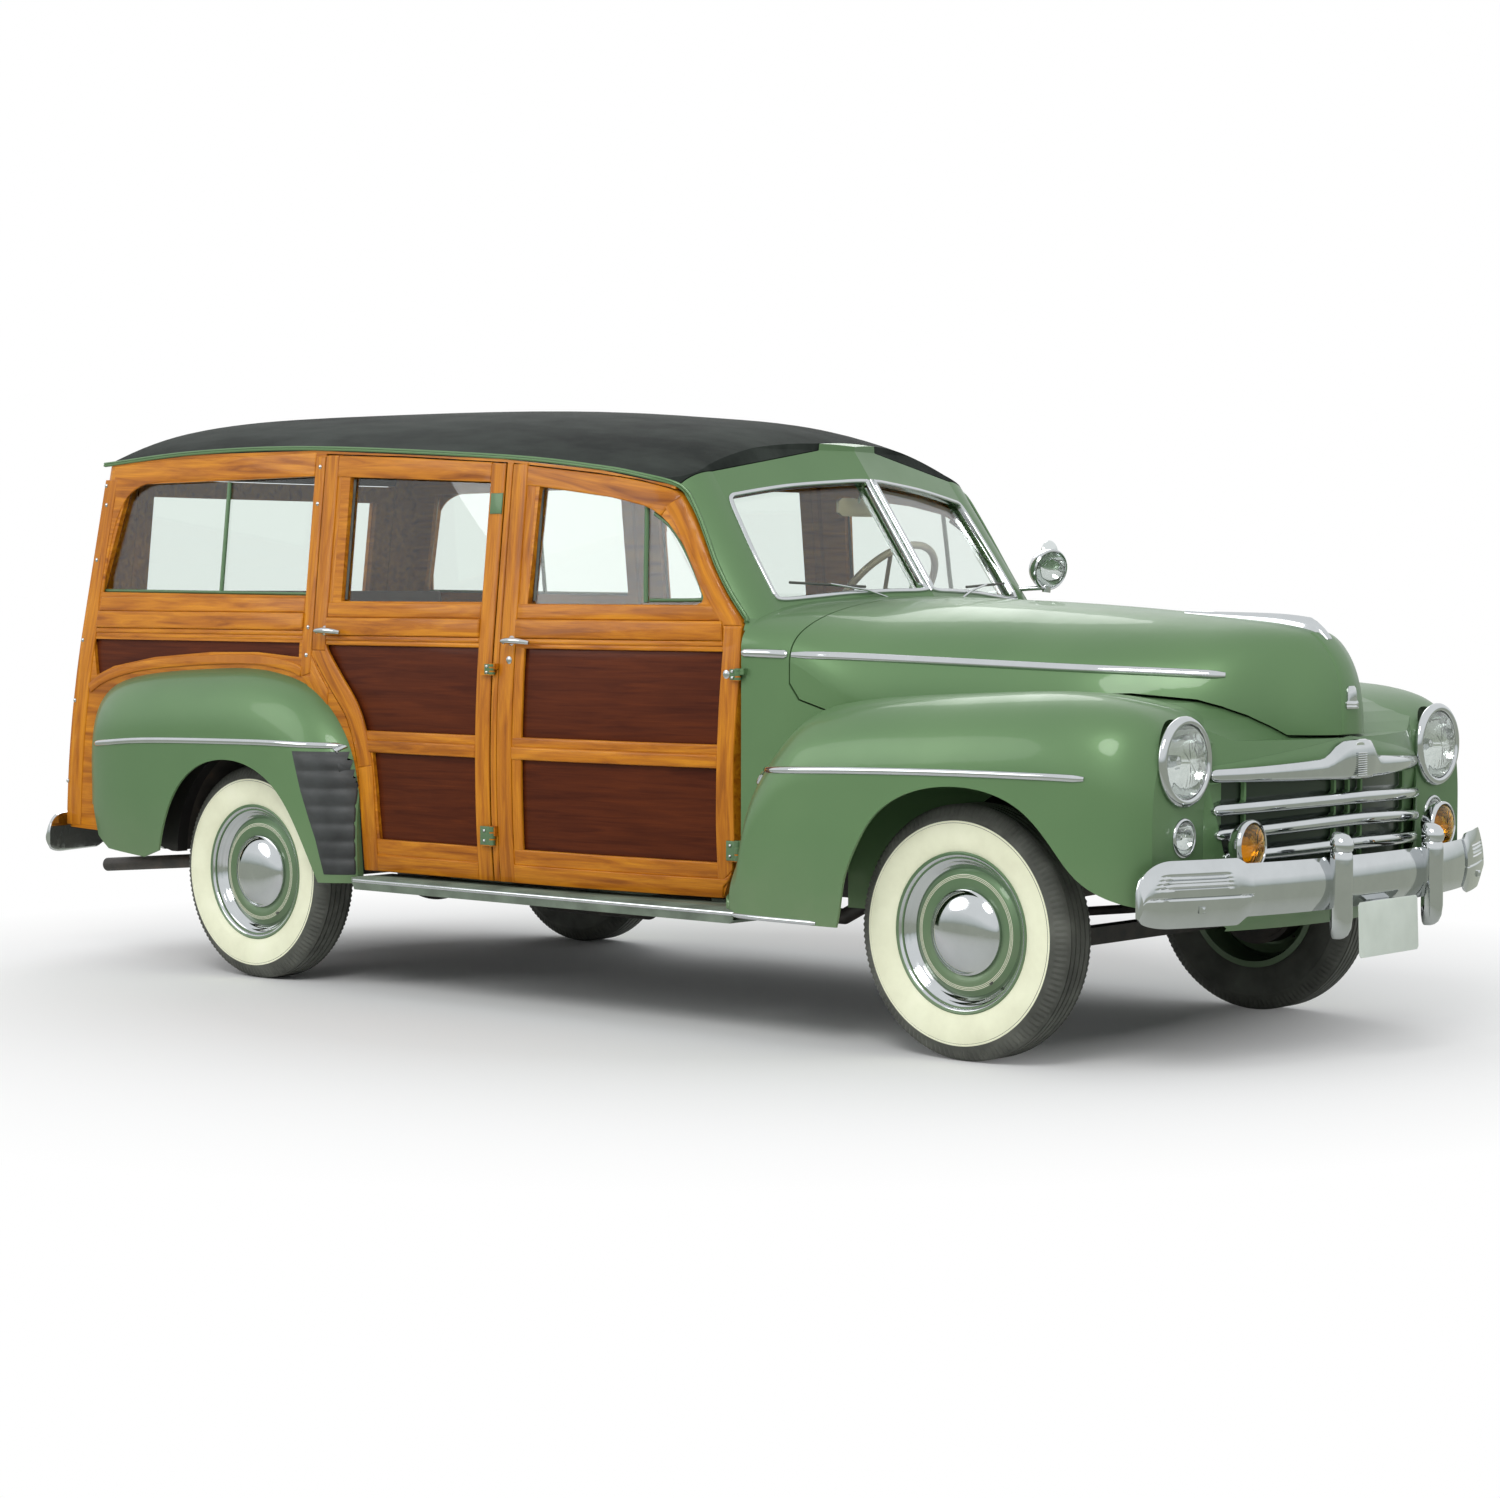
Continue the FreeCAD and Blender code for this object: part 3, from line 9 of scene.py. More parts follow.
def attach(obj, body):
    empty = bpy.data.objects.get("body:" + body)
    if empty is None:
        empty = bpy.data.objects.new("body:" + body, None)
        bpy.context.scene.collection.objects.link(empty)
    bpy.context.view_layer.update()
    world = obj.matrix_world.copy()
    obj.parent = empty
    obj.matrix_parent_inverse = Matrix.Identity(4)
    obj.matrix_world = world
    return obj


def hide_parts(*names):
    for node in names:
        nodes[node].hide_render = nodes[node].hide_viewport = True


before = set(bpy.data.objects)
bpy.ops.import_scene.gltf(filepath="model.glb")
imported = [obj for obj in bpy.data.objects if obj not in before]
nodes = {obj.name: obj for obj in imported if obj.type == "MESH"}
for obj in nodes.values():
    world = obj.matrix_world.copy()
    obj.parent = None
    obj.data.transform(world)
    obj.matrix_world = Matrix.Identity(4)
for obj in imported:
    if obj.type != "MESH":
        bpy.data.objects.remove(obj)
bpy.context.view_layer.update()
scene = bpy.context.scene
SHIFT = 169.5                   # the row's origin lies this far behind the middle of the wheelbase, in mm
HALF_BASE = 1448.0              # half the wheelbase, in mm
TYRE_R = 352                    # the tyres' radius, in mm
FLOOR_HALF = 60.0               # in m


# Camera, floor and light

def camera():
    data = bpy.data.cameras.new("camera")
    cam = bpy.data.objects.new("camera", data)
    scene.collection.objects.link(cam)
    yaw, pitch, roll = math.radians(130.861), math.radians(-2.813), math.radians(0.112)
    forward = Vector((math.cos(pitch) * math.cos(yaw), math.cos(pitch) * math.sin(yaw), math.sin(pitch)))
    right = forward.cross(Vector((0, 0, 1))).normalized()
    up = right.cross(forward)
    right, up = math.cos(roll) * right + math.sin(roll) * up, math.cos(roll) * up - math.sin(roll) * right
    m = Matrix((right, up, -forward)).transposed().to_4x4()
    m.translation = Vector((6.760019 + SHIFT / 1000, -7.819812, 1.284147))
    cam.matrix_world = m
    data.sensor_width = 36.0
    data.lens = 3240.786 * 36.0 / 1500.0
    data.clip_end = 200
    scene.camera = cam
    return cam


def new_object(name, mesh):
    obj = bpy.data.objects.new(name, mesh)
    scene.collection.objects.link(obj)
    return obj


class Nodes:
    """Shader nodes of one tree, linked as they are made."""

    def __init__(self, tree):
        self.nodes, self.link = tree.nodes, tree.links.new

    def add(self, kind, **inputs):
        node = self.nodes.new("ShaderNode" + kind)
        for key, value in inputs.items():
            node.inputs[key.replace("_", " ")].default_value = value
        return node

    def feed(self, socket, value):
        if isinstance(value, bpy.types.NodeSocket):
            self.link(value, socket)
        else:
            socket.default_value = (*value, 1) if socket.type == "RGBA" and isinstance(value, tuple) else value

    def coords(self, scale=(1, 1, 1), attribute=None):
        """Mapped object coordinates, or a stored attribute, for a texture."""
        mapping = self.add("Mapping", Scale=scale)
        source = self.add("Attribute" if attribute else "TexCoord")
        if attribute:
            source.attribute_name = attribute
        self.link(source.outputs["Vector" if attribute else "Object"], mapping.inputs["Vector"])
        return mapping.outputs["Vector"]

    def noise(self, vector, scale, detail=4.0, rough=0.55, distortion=0.0):
        texture = self.add("TexNoise", Scale=scale, Detail=detail, Roughness=rough, Distortion=distortion)
        self.link(vector, texture.inputs["Vector"])
        return texture.outputs["Fac"]

    def cells(self, vector, scale):
        texture = self.add("TexVoronoi", Scale=scale)
        self.link(vector, texture.inputs["Vector"])
        return texture.outputs["Distance"]

    def ramp(self, fac, stops):
        node = self.add("ValToRGB")
        elements = node.color_ramp.elements
        while len(elements) < len(stops):
            elements.new(0.5)
        for element, (position, color) in zip(elements, stops):
            element.position = position
            element.color = (*color, 1)
        self.link(fac, node.inputs["Fac"])
        return node.outputs["Color"]

    def mix(self, fac, a, b):
        node = self.add("Mix")
        node.data_type = "RGBA"
        for key, value in (("Factor", fac), ("A", a), ("B", b)):
            self.feed(node.inputs[key], value)
        return node.outputs["Result"]

    def remap(self, value, lo, hi, a=0.0, b=1.0):
        node = self.add("MapRange", From_Min=lo, From_Max=hi, To_Min=a, To_Max=b)
        self.link(value, node.inputs["Value"])
        return node.outputs["Result"]

    def maths(self, operation, *values, kind="Math"):
        node = self.add(kind)
        node.operation = operation
        for socket, value in zip(node.inputs, values):
            self.feed(socket, value)
        return node.outputs["Value" if operation == "LENGTH" else 0]

    def height(self, vector):
        """The upward part of a vector."""
        split = self.add("SeparateXYZ")
        self.link(vector, split.inputs[0])
        return split.outputs["Z"]

    def rays(self, *kinds):
        """One for rays of those kinds, and nought for the light that falls on the object."""
        path = self.add("LightPath")
        total = path.outputs[f"Is {kinds[0]} Ray"]
        for kind in kinds[1:]:
            total = self.maths("MAXIMUM", total, path.outputs[f"Is {kind} Ray"])
        return total


class Look(Nodes):
    """A material and its shader nodes."""

    def __init__(self, name, color, rough, metal=0.0, coat=0.0, coat_rough=0.05, specular=0.5):
        self.mat = bpy.data.materials.new(name)
        self.mat.use_nodes = True
        super().__init__(self.mat.node_tree)
        self.shader = self.nodes["Principled BSDF"]
        self.set(Base_Color=color, Roughness=rough, Metallic=metal, Coat_Weight=coat, Coat_Roughness=coat_rough,
                 Specular_IOR_Level=specular)

    def set(self, **inputs):
        for key, value in inputs.items():
            self.feed(self.shader.inputs[key.replace("_", " ")], value)

    def bump(self, height, strength, distance):
        node = self.add("Bump", Strength=strength, Distance=distance)
        self.link(height, node.inputs["Height"])
        self.set(Normal=node.outputs["Normal"])


def shade(color, factor, lift=0.0):
    return tuple(c * factor + lift for c in color)


def mottled(name, rough, pattern, stops, relief=None, gloss=None, cell=0, **more):
    """A surface whose colour wanders over stops; relief and gloss are a noise and what it does."""
    look = Look(name, stops[-1][1], rough, **more)
    vec = look.coords()
    look.set(Base_Color=look.ramp(look.noise(vec, *pattern), stops))
    if gloss:
        look.set(Roughness=look.remap(look.noise(vec, *gloss[:2]), *gloss[2:]))
    if relief:
        look.bump(look.cells(vec, cell) if cell else look.noise(vec, *relief[:2]), *relief[2:])
    return look.mat


def make_paint(name, dark, light):
    """Metallic lacquer: soft clouds, a very fine flake and road dust low down."""
    look = Look(name, light, 0.40, 0.28, coat=0.3, specular=0.3)
    vec = look.coords()
    base = look.ramp(look.noise(vec, 1.7, 2), [(0.3, dark), (0.72, light)])
    flake = look.ramp(look.noise(vec, 900, 1), [(0.35, shade(light, 0.95)), (0.7, shade(light, 1.05))])
    low = look.remap(look.height(vec), 0.28, 0.60, 0.35, 0.0)
    dust = look.maths("MULTIPLY", low, look.noise(vec, 12, 5))
    look.set(Base_Color=look.mix(dust, look.mix(0.3, base, flake), (0.30, 0.29, 0.22)))
    look.set(Roughness=look.remap(look.noise(vec, 5, 3), 0.3, 0.7, 0.37, 0.46))
    look.bump(look.noise(vec, 140, 1), 0.02, 0.0003)
    return look.mat


def make_wood(name, dark, mid, light, attribute="grain", ring=1.0, sheen=0.2, arch=False):
    """Varnished wood whose grain runs along the first axis of the piece's own grain coordinates.

    With arch, it is near black within the rear wheel arches."""
    look = Look(name, mid, 0.42, 0.0, sheen, 0.1, sheen)
    figure = look.noise(look.coords((1.4, 16 * ring, 16 * ring), attribute), 2.3, 5, 0.55, 0.8)
    pores = look.noise(look.coords((6, 240, 240), attribute), 1.0, 4, 0.7)
    broad = look.noise(look.coords((1.1, 3, 3), attribute), 1.6, 3)
    color = look.ramp(figure, [(0.22, dark), (0.44, mid), (0.68, light), (0.85, mid)])
    color = look.mix(look.remap(pores, 0.45, 0.70, 0.0, 0.30), color, dark)
    color = look.mix(look.remap(broad, 0.62, 0.80, 0.0, 0.35), color, shade(light, 1.25))
    color = look.mix(look.remap(broad, 0.24, 0.40, 0.4, 0.0), color, shade(dark, 0.6))
    if arch:
        hub = ((SHIFT - HALF_BASE) / 1000, 0, TYRE_R / 1000)
        away = look.maths("SUBTRACT", look.coords(), hub, kind="VectorMath")
        away = look.maths("MULTIPLY", away, (1, 0, 1), kind="VectorMath")
        away = look.maths("LENGTH", away, kind="VectorMath")
        # near black within 0.55 m of the rear hub, inside the wheel arch
        color = look.mix(look.remap(away, 0.55, 0.57, 1.0, 0.0), color, (0.018, 0.017, 0.016))
    look.set(Base_Color=color, Roughness=look.remap(pores, 0.3, 0.7, 0.30, 0.52))
    look.bump(pores, 0.08, 0.0004)
    return look.mat


def make_chrome(name, tint=(0.60, 0.62, 0.63), rough=0.05):
    return mottled(name, rough, (14, 4), [(0.3, shade(tint, 0.93)), (0.7, tint)], metal=1.0,
                   gloss=(45, 5, 0.45, 0.8, rough, rough + 0.14))


def make_rubber(name, color=(0.052, 0.054, 0.045), rough=0.72, grain=180):
    stops = [(0.3, color), (0.75, shade(color, 2.4, 0.01))]
    return mottled(name, rough, (9, 6), stops, (grain, 3, 0.25, 0.001))


def make_glass(name, tint=(0.88, 0.93, 0.90)):
    look = Look(name, tint, 0.0)
    look.set(Transmission_Weight=1.0, IOR=1.45)
    look.set(Roughness=look.remap(look.noise(look.coords(), 7, 5), 0.5, 0.85, 0.0, 0.05))
    return look.mat


def make_fabric_roof(name):
    """Black coated fabric with a fine pebbled grain, dusty on top."""
    look = Look(name, (0.03, 0.033, 0.036), 0.78, specular=0.1)
    dust = look.noise(look.coords((0.7, 1.6, 1)), 3.0, 6, 0.6)
    look.set(Base_Color=look.ramp(dust, [(0.35, (0.012, 0.015, 0.013)), (0.75, (0.052, 0.060, 0.053))]))
    look.bump(look.cells(look.coords(), 420), 0.45, 0.0012)
    return look.mat


def make_cream(name, dark=(0.52, 0.43, 0.25), light=(0.64, 0.54, 0.34)):
    """Aged enamel or hard plastic with a slight mottle."""
    return mottled(name, 0.34, (11, 4), [(0.3, dark), (0.7, light)], gloss=(40, 3, 0.3, 0.7, 0.28, 0.42),
                   coat=0.4)


def make_black_steel(name, color=(0.02, 0.02, 0.02), rough=0.55):
    """Chassis paint with dried mud and a little rust."""
    stops = [(0.35, color), (0.62, (0.06, 0.05, 0.04)), (0.8, (0.16, 0.09, 0.05))]
    return mottled(name, rough, (11, 8, 0.65), stops, (120, 5, 0.3, 0.001))


GREEN_DARK, GREEN = (0.100, 0.192, 0.082), (0.128, 0.232, 0.100)
WOOD = ((0.19, 0.046, 0.003), (0.44, 0.140, 0.005), (0.63, 0.240, 0.009))
M = {
    "paint": make_paint("paint", GREEN_DARK, GREEN),
    # Painted shade: a near-black green for the sheet behind the grille bars, standing for the shade deep in the
    # grille.
    "recess": make_paint("recess", (0.014, 0.026, 0.014), (0.024, 0.044, 0.023)),
    "wheel_paint": make_paint("wheel_paint", (0.088, 0.165, 0.078), (0.108, 0.198, 0.094)),
    "wood": make_wood("wood", *WOOD),
    "panel": make_wood("panel", (0.045, 0.008, 0.003), (0.078, 0.016, 0.005), (0.108, 0.023, 0.006), ring=1.6,
                       sheen=0.08),
    "wood_cad": make_wood("wood_cad", *WOOD, attribute=None),
    "wood_side": make_wood("wood_side", *WOOD, attribute=None, arch=True),
    "chrome": make_chrome("chrome"),
    "rubber": make_rubber("rubber"),
    "whitewall": mottled("whitewall", 0.55, (7, 6, 0.6), [(0.25, (0.72, 0.72, 0.52)), (0.6, (0.84, 0.85, 0.63)),
                                                          (0.8, (0.88, 0.88, 0.68))], (240, 3, 0.08, 0.0005)),
    "pinstripe": make_cream("pinstripe", (0.66, 0.64, 0.50), (0.76, 0.74, 0.58)),
    "glass": make_glass("glass"),
    "lens": make_glass("lens", (0.93, 0.95, 0.94)),
    "amber": make_glass("amber", (0.95, 0.55, 0.02)),
    "tail_red": make_rubber("tail_red", (0.28, 0.008, 0.006), 0.12, 300),
    "roof": make_fabric_roof("roof"),
    "leather": mottled("leather", 0.48, (6, 6), [(0.3, (0.055, 0.018, 0.010)), (0.7, (0.14, 0.05, 0.028))],
                       (0, 0, 0.3, 0.001), cell=260),
    "black": make_black_steel("black"),
    "guard": make_rubber("guard", (0.018, 0.020, 0.020), 0.5, 420),
    "cast": make_black_steel("cast", (0.03, 0.04, 0.045), 0.5),
    "board": make_rubber("board", (0.075, 0.095, 0.070), 0.6, 300),
    "dash": make_paint("dash", (0.16, 0.12, 0.06), (0.24, 0.19, 0.10)),
    "cream": make_cream("cream"),
    "plate": make_cream("plate_white", (0.62, 0.68, 0.60), (0.70, 0.76, 0.68)),
    "mirror": make_chrome("mirror", (0.72, 0.75, 0.74), 0.02),
}
CAD_LOOKS = {
    "paint": "cowl_body hood front_fender rear_fender rear_pan front_apron", "wood_side": "wood_side",
    "glass": "windshield front_door_glass rear_door_glass quarter_glass liftgate_glass", "roof": "roof",
    "wood_cad": "front_door rear_door tailgate liftgate",
    "chrome": "grille headlamps parking_lamps front_bumper rear_bumper",
    "black": "frame_rails floor_pan radiator front_axle rear_axle knuckle exhaust fuel_tank", "cast": "engine",
    "leather": "front_seat rear_seats", "dash": "dashboard", "cream": "steering_wheel", "board": "running_boards",
    "wheel_paint": "wheel", "rubber": "tyre",
}
for name, obj in nodes.items():
    key = next(look for look, starts in CAD_LOOKS.items() if name.startswith(tuple(starts.split())))
    obj.data.materials.clear()
    obj.data.materials.append(M[key])


# Studio

def studio():
    mesh = bpy.data.meshes.new("floor")
    s = FLOOR_HALF
    mesh.from_pydata([(-s, -s, 0), (s, -s, 0), (s, s, 0), (-s, s, 0)], [], [(0, 1, 2, 3)])
    floor = new_object("floor", mesh)
    look = Look("floor", (0.80, 0.80, 0.79), 0.9)
    glow = look.add("Emission")
    look.feed(glow.inputs["Color"], look.mix(look.rays("Glossy"), (1.0, 1.0, 1.0), (0.42, 0.45, 0.38)))
    away = look.maths("LENGTH", look.add("TexCoord").outputs["Object"], kind="VectorMath")
    seen = look.maths("MULTIPLY", look.remap(away, 1.6, 3.6), look.rays("Camera", "Glossy", "Transmission"))
    blend = look.add("MixShader")
    for socket, value in zip(blend.inputs, (seen, look.shader.outputs[0], glow.outputs[0])):
        look.link(value, socket)
    look.link(blend.outputs[0], look.nodes["Material Output"].inputs["Surface"])
    mesh.materials.append(look.mat)
    scene.world = bpy.data.worlds.new("world")
    scene.world.use_nodes = True
    sky = Nodes(scene.world.node_tree)
    up = sky.height(sky.add("TexCoord").outputs["Generated"])
    mirrored = sky.ramp(sky.remap(up, -0.4, 0.9), [(0.24, (0.60, 0.63, 0.56)), (0.29, (0.26, 0.30, 0.23)),
                                                   (0.34, (0.66, 0.71, 0.70)), (0.43, (0.97, 0.99, 1.0))])
    lit = sky.mix(sky.rays("Glossy"), (0.66, 0.68, 0.70), mirrored)
    background = sky.nodes["Background"]
    sky.feed(background.inputs["Color"], sky.mix(sky.rays("Camera", "Transmission"), lit, (1.0, 1.0, 1.0)))
    background.inputs["Strength"].default_value = 1.0
    for name, loc, size, power, target in (("key", (4.5, -7.5, 7.5), 4.0, 400, (0.3, -0.3, 0.7)),
                                           ("fill", (-5.0, -7.5, 4.5), 5.0, 150, (-0.8, 0, 0.8)),
                                           ("rim", (-6.0, 6.0, 6.5), 6.0, 220, (-0.5, 0, 1.0))):
        data = bpy.data.lights.new(name, "AREA")
        data.shape = "DISK"
        data.size = size
        data.energy = power
        lamp = new_object(name, data)
        lamp.location = loc
        lamp.rotation_euler = (Vector(target) - Vector(loc)).to_track_quat("-Z", "Y").to_euler()
    scene.view_settings.view_transform = "Standard"


camera()
studio()


# Geometry helpers; places are written in millimetres, with x measured from the middle of the wheelbase

def P(x, y, z):
    return Vector(((x + SHIFT) / 1000, y / 1000, z / 1000))


def screen_x(z):
    """Station of the body's front at that height: upright under the belt, then sloped with the windscreen."""
    slope = 718 + (1290 - min(z, 1712)) * 297 / 422
    return 860 + (slope - 860) * min(max(z - 1160, 0) / 40, 1)


def drawn(x):
    """How far the side is drawn in there, towards the front."""
    return TAPER * (max(0, x - TAPER_START) / TAPER_LENGTH) ** 2


def half_width(x, z):
    """Half width of the wooden body there, as the pieces of the frame have it."""
    if z <= BELT_Z:
        straight = WIDEST - SIDE_CURVE * (z - WIDEST_Z) ** 2
    else:
        straight = BELT_HALF - SIDE_SLOPE * (z - BELT_Z)
    corner = screen_x(z) - 130 - CORNER
    drawn_in = drawn(min(x, corner))
    beyond = min(max(x - corner, 0), CORNER - 1)
    return straight - drawn_in - CORNER + math.sqrt(CORNER ** 2 - beyond ** 2)


CORNER = 150                    # radius of the windscreen frame's corners
SIDE_CURVE = 22 / 410 ** 2      # the sides' bulge, about their widest line
WIDEST_Z, WIDEST, BELT_Z, BELT_HALF = 750, 822, 1160, 800
TAPER_START, TAPER_LENGTH, TAPER = -318, 916, 67
SIDE_SLOPE = 2 * SIDE_CURVE * (BELT_Z - WIDEST_Z)


def put(name, shape, mat="chrome", body="chassis", second=None, angle=35, replaces=()):
    """Smooths, names, dresses and hands over a mesh as one piece on a body."""
    mesh = mesh_from(shape) if isinstance(shape, bmesh.types.BMesh) else shape
    mesh.name = name
    for key in filter(None, (mat, second)):
        mesh.materials.append(M[key])
    mesh.shade_smooth()
    mesh.set_sharp_from_angle(angle=math.radians(angle))
    obj = new_object(name, mesh)
    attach(obj, body)
    if replaces:
        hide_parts(*replaces)
    return obj


def mesh_from(bm):
    mesh = bpy.data.meshes.new("piece")
    bmesh.ops.recalc_face_normals(bm, faces=bm.faces)
    bm.to_mesh(mesh)
    bm.free()
    return mesh


def smooth_path(points, steps=6, closed=False):
    """A curve through the points, with a few steps between each two."""
    points = [Vector(p) for p in points]
    n = len(points)
    out = []
    for i in range(n if closed else n - 1):
        if closed:
            p0, p1, p2, p3 = (points[(i + k) % n] for k in (-1, 0, 1, 2))
        else:
            p1, p2 = points[i], points[i + 1]
            p0 = points[i - 1] if i else p1 + (p1 - p2)
            p3 = points[i + 2] if i + 2 < n else p2 + (p2 - p1)
        for k in range(steps):
            t = k / steps
            a, b, c = 2 * p1, p2 - p0, 2 * p0 - 5 * p1 + 4 * p2 - p3
            d = 3 * p1 - p0 - 3 * p2 + p3
            out.append((a + b * t + c * t * t + d * t * t * t) / 2)
    if not closed:
        out.append(points[-1])
    return out


def outline_mesh(outline, depth, bevel):
    """A flat slab in its own x, y with rounded edges."""
    curve = bpy.data.curves.new("outline", "CURVE")
    curve.dimensions = "2D"
    curve.fill_mode = "BOTH"
    curve.extrude = max(depth / 2 - bevel, 0.0001)
    curve.bevel_depth = bevel
    curve.bevel_resolution = 2
    curve.offset = -bevel
    spline = curve.splines.new("POLY")
    spline.points.add(len(outline) - 1)
    for point, (x, y) in zip(spline.points, outline):
        point.co = (x, y, 0, 1)
    spline.use_cyclic_u = True
    obj = bpy.data.objects.new("outline", curve)
    mesh = bpy.data.meshes.new_from_object(obj)
    bpy.data.objects.remove(obj)
    bpy.data.curves.remove(curve)
    bm = bmesh.new()
    bm.from_mesh(mesh)
    bpy.data.meshes.remove(mesh)
    bmesh.ops.remove_doubles(bm, verts=bm.verts, dist=1e-4)
    return bm


slab_count = [0]


def slab(name, body, outline, t0, t1, place, cuts, angle, mat, bevel, follow=None):
    """A wooden slab over an outline, sliced by cuts and laid by place; it lies from t0 to t1 outside the skin.

    The grain runs at an angle to the outline's first axis, or along the points of follow."""
    bm = outline_mesh(outline, t1 - t0, bevel)
    for normal, step in cuts:
        values = [v.co.dot(normal) for v in bm.verts]
        value = math.floor(min(values) / step) * step + step
        while value < max(values):
            geometry = bm.verts[:] + bm.edges[:] + bm.faces[:]
            bmesh.ops.bisect_plane(bm, geom=geometry, plane_co=normal * value, plane_no=normal, dist=0.01)
            value += step
    flat = [v.co.copy() for v in bm.verts]
    for v in bm.verts:
        v.co = place(v.co.x, v.co.y, (t0 + t1) / 2 + v.co.z)
    mesh = mesh_from(bm)
    slab_count[0] += 1
    shift = Vector((3.71, 1.37, 0.53)) * slab_count[0]
    c, s = math.cos(math.radians(angle)), math.sin(math.radians(angle))
    layer = mesh.attributes.new("grain", "FLOAT_VECTOR", "POINT")
    for value, (x, z, t) in zip(layer.data, flat):
        u, w = along(follow, x, z) if follow else (x * c + z * s, z * c - x * s)
        value.vector = shift + Vector((u, w, t)) / 1000
    put(name, mesh, mat, body)


UP, ALONG = Vector((0, 1, 0)), Vector((1, 0, 0))


def member(name, body, side, outline, t0=-6, t1=4, angle=0.0, mat="wood", bevel=3.0, follow=None):
    """A wooden member on the body's side, over a side-view outline in mm."""
    cuts = [(UP, 45)] + [(ALONG, 45)] * (max(x for x, z in outline) >= TAPER_START)
    place = lambda x, z, out: P(x, side * (half_width(x, z) + out), z)
    slab(name, body, outline, t0, t1, place, cuts, angle, mat, bevel, follow)


def along(path, x, z):
    """How far along a path of (x, z) points, and how far beside it, a place lies."""
    best, travelled = (1e9, 0, 0), 0.0
    for (x0, z0), (x1, z1) in zip(path, path[1:]):
        dx, dz = x1 - x0, z1 - z0
        length = math.hypot(dx, dz)
        t = min(max(((x - x0) * dx + (z - z0) * dz) / length ** 2, 0), 1)
        gap = math.hypot(x - x0 - t * dx, z - z0 - t * dz)
        if gap < best[0]:
            cross = ((z - z0) * dx - (x - x0) * dz) / length
            best = (gap, travelled + t * length, cross)
        travelled += length
    return best[1], best[2]


def rect(x0, x1, z0, z1):
    return [(x0, z0), (x1, z0), (x1, z1), (x0, z1)]


def curve2(points, steps=5):
    return [(p.x, p.y) for p in smooth_path([(x, z, 0) for x, z in points], steps)]


def sweep(path, profile, normals, closed_path=False):
    """Carries a closed profile of (across, out) points along a path; normals says which way is out."""
    bm = bmesh.new()
    rings = []
    n = len(path)
    for i, p in enumerate(path):
        if closed_path:
            tangent = (path[(i + 1) % n] - path[i - 1]).normalized()
        else:
            tangent = (path[min(i + 1, n - 1)] - path[max(i - 1, 0)]).normalized()
        out = (normals[i] - tangent * normals[i].dot(tangent)).normalized()
        across = tangent.cross(out)
        section = profile(i / max(n - 1, 1)) if callable(profile) else profile
        rings.append([bm.verts.new(p + (across * a + out * b) / 1000) for a, b in section])
    m = len(rings[0])
    pairs = zip(rings, rings[1:] + rings[:1]) if closed_path else zip(rings, rings[1:])
    for a, b in pairs:
        for k in range(m):
            bm.faces.new((a[k], a[(k + 1) % m], b[(k + 1) % m], b[k]))
    if not closed_path:
        bm.faces.new(rings[0])
        bm.faces.new(rings[-1][::-1])
    return bm


def half_round(width, height, base=-1.5):
    """A convex moulding's profile."""
    half, angles = width / 2, [math.pi * k / 8 for k in range(9)]
    return [(half * math.cos(a), height * math.sin(a)) for a in angles] + [(-half, base), (half, base)]


def round_bar(radius, n=12):
    return [(radius * math.cos(2 * math.pi * k / n), radius * math.sin(2 * math.pi * k / n)) for k in range(n)]


def join(*bms):
    """Several meshes in one."""
    total = bmesh.new()
    for bm in bms:
        mesh = bpy.data.meshes.new("part")
        bm.to_mesh(mesh)
        bm.free()
        total.from_mesh(mesh)
        bpy.data.meshes.remove(mesh)
    return total


def lathe(profile, centre, axis, segments=64, mats=None, closed=False, relief=None):
    """Turns a profile of (along, radius) points about an axis through centre; relief may move each point."""
    bm = bmesh.new()
    axis = Vector(axis).normalized()
    side = axis.orthogonal().normalized()
    other = axis.cross(side)
    rings = []
    for u0, r0 in profile:
        ring = []
        for k in range(segments if r0 > 0.01 else 1):
            a = 2 * math.pi * k / segments
            u, r = relief(u0, r0, k) if relief else (u0, r0)
            ring.append(bm.verts.new(centre + (axis * u + (side * math.cos(a) + other * math.sin(a)) * r) / 1000))
        rings.append(ring)
    for i, (a, b) in enumerate(zip(rings, rings[1:] + (rings[:1] if closed else []))):
        for k in range(segments):
            j = (k + 1) % segments
            if len(a) == 1 and len(b) == 1:
                continue
            if len(a) == 1:
                face = bm.faces.new((a[0], b[j], b[k]))
            elif len(b) == 1:
                face = bm.faces.new((a[k], a[j], b[0]))
            else:
                face = bm.faces.new((a[k], a[j], b[j], b[k]))
            if mats:
                face.material_index = mats[i]
    return bm


class Surface:
    """The outside of some CAD nodes, to lay trim on."""

    def __init__(self, *names):
        verts, faces = [], []
        for name in names:
            mesh = nodes[name].data
            base = len(verts)
            verts += [v.co.copy() for v in mesh.vertices]
            faces += [[base + i for i in p.vertices] for p in mesh.polygons]
        self.tree = BVHTree.FromPolygons(verts, faces)

    def hit(self, origin, direction):
        place, normal, _, _ = self.tree.ray_cast(origin, direction.normalized())
        if place is None:
            place, normal, _, _ = self.tree.find_nearest(origin + direction.normalized() * 0.6)
        if normal.dot(direction) > 0:
            normal = -normal
        return place, normal

    def beside(self, side, x, z):
        return self.hit(P(x, side * 1500, z), Vector((0, -side, 0)))

    def above(self, x, y):
        return self.hit(P(x, y, 2500), Vector((0, 0, -1)))

    def ahead(self, y, z):
        return self.hit(P(3500, y, z), Vector((-1, 0, 0)))

    def trim(self, hits, profile, lift=0.0):
        path = [p + n * lift / 1000 for p, n in hits]
        return sweep(path, profile, smoothed([n for _, n in hits]))


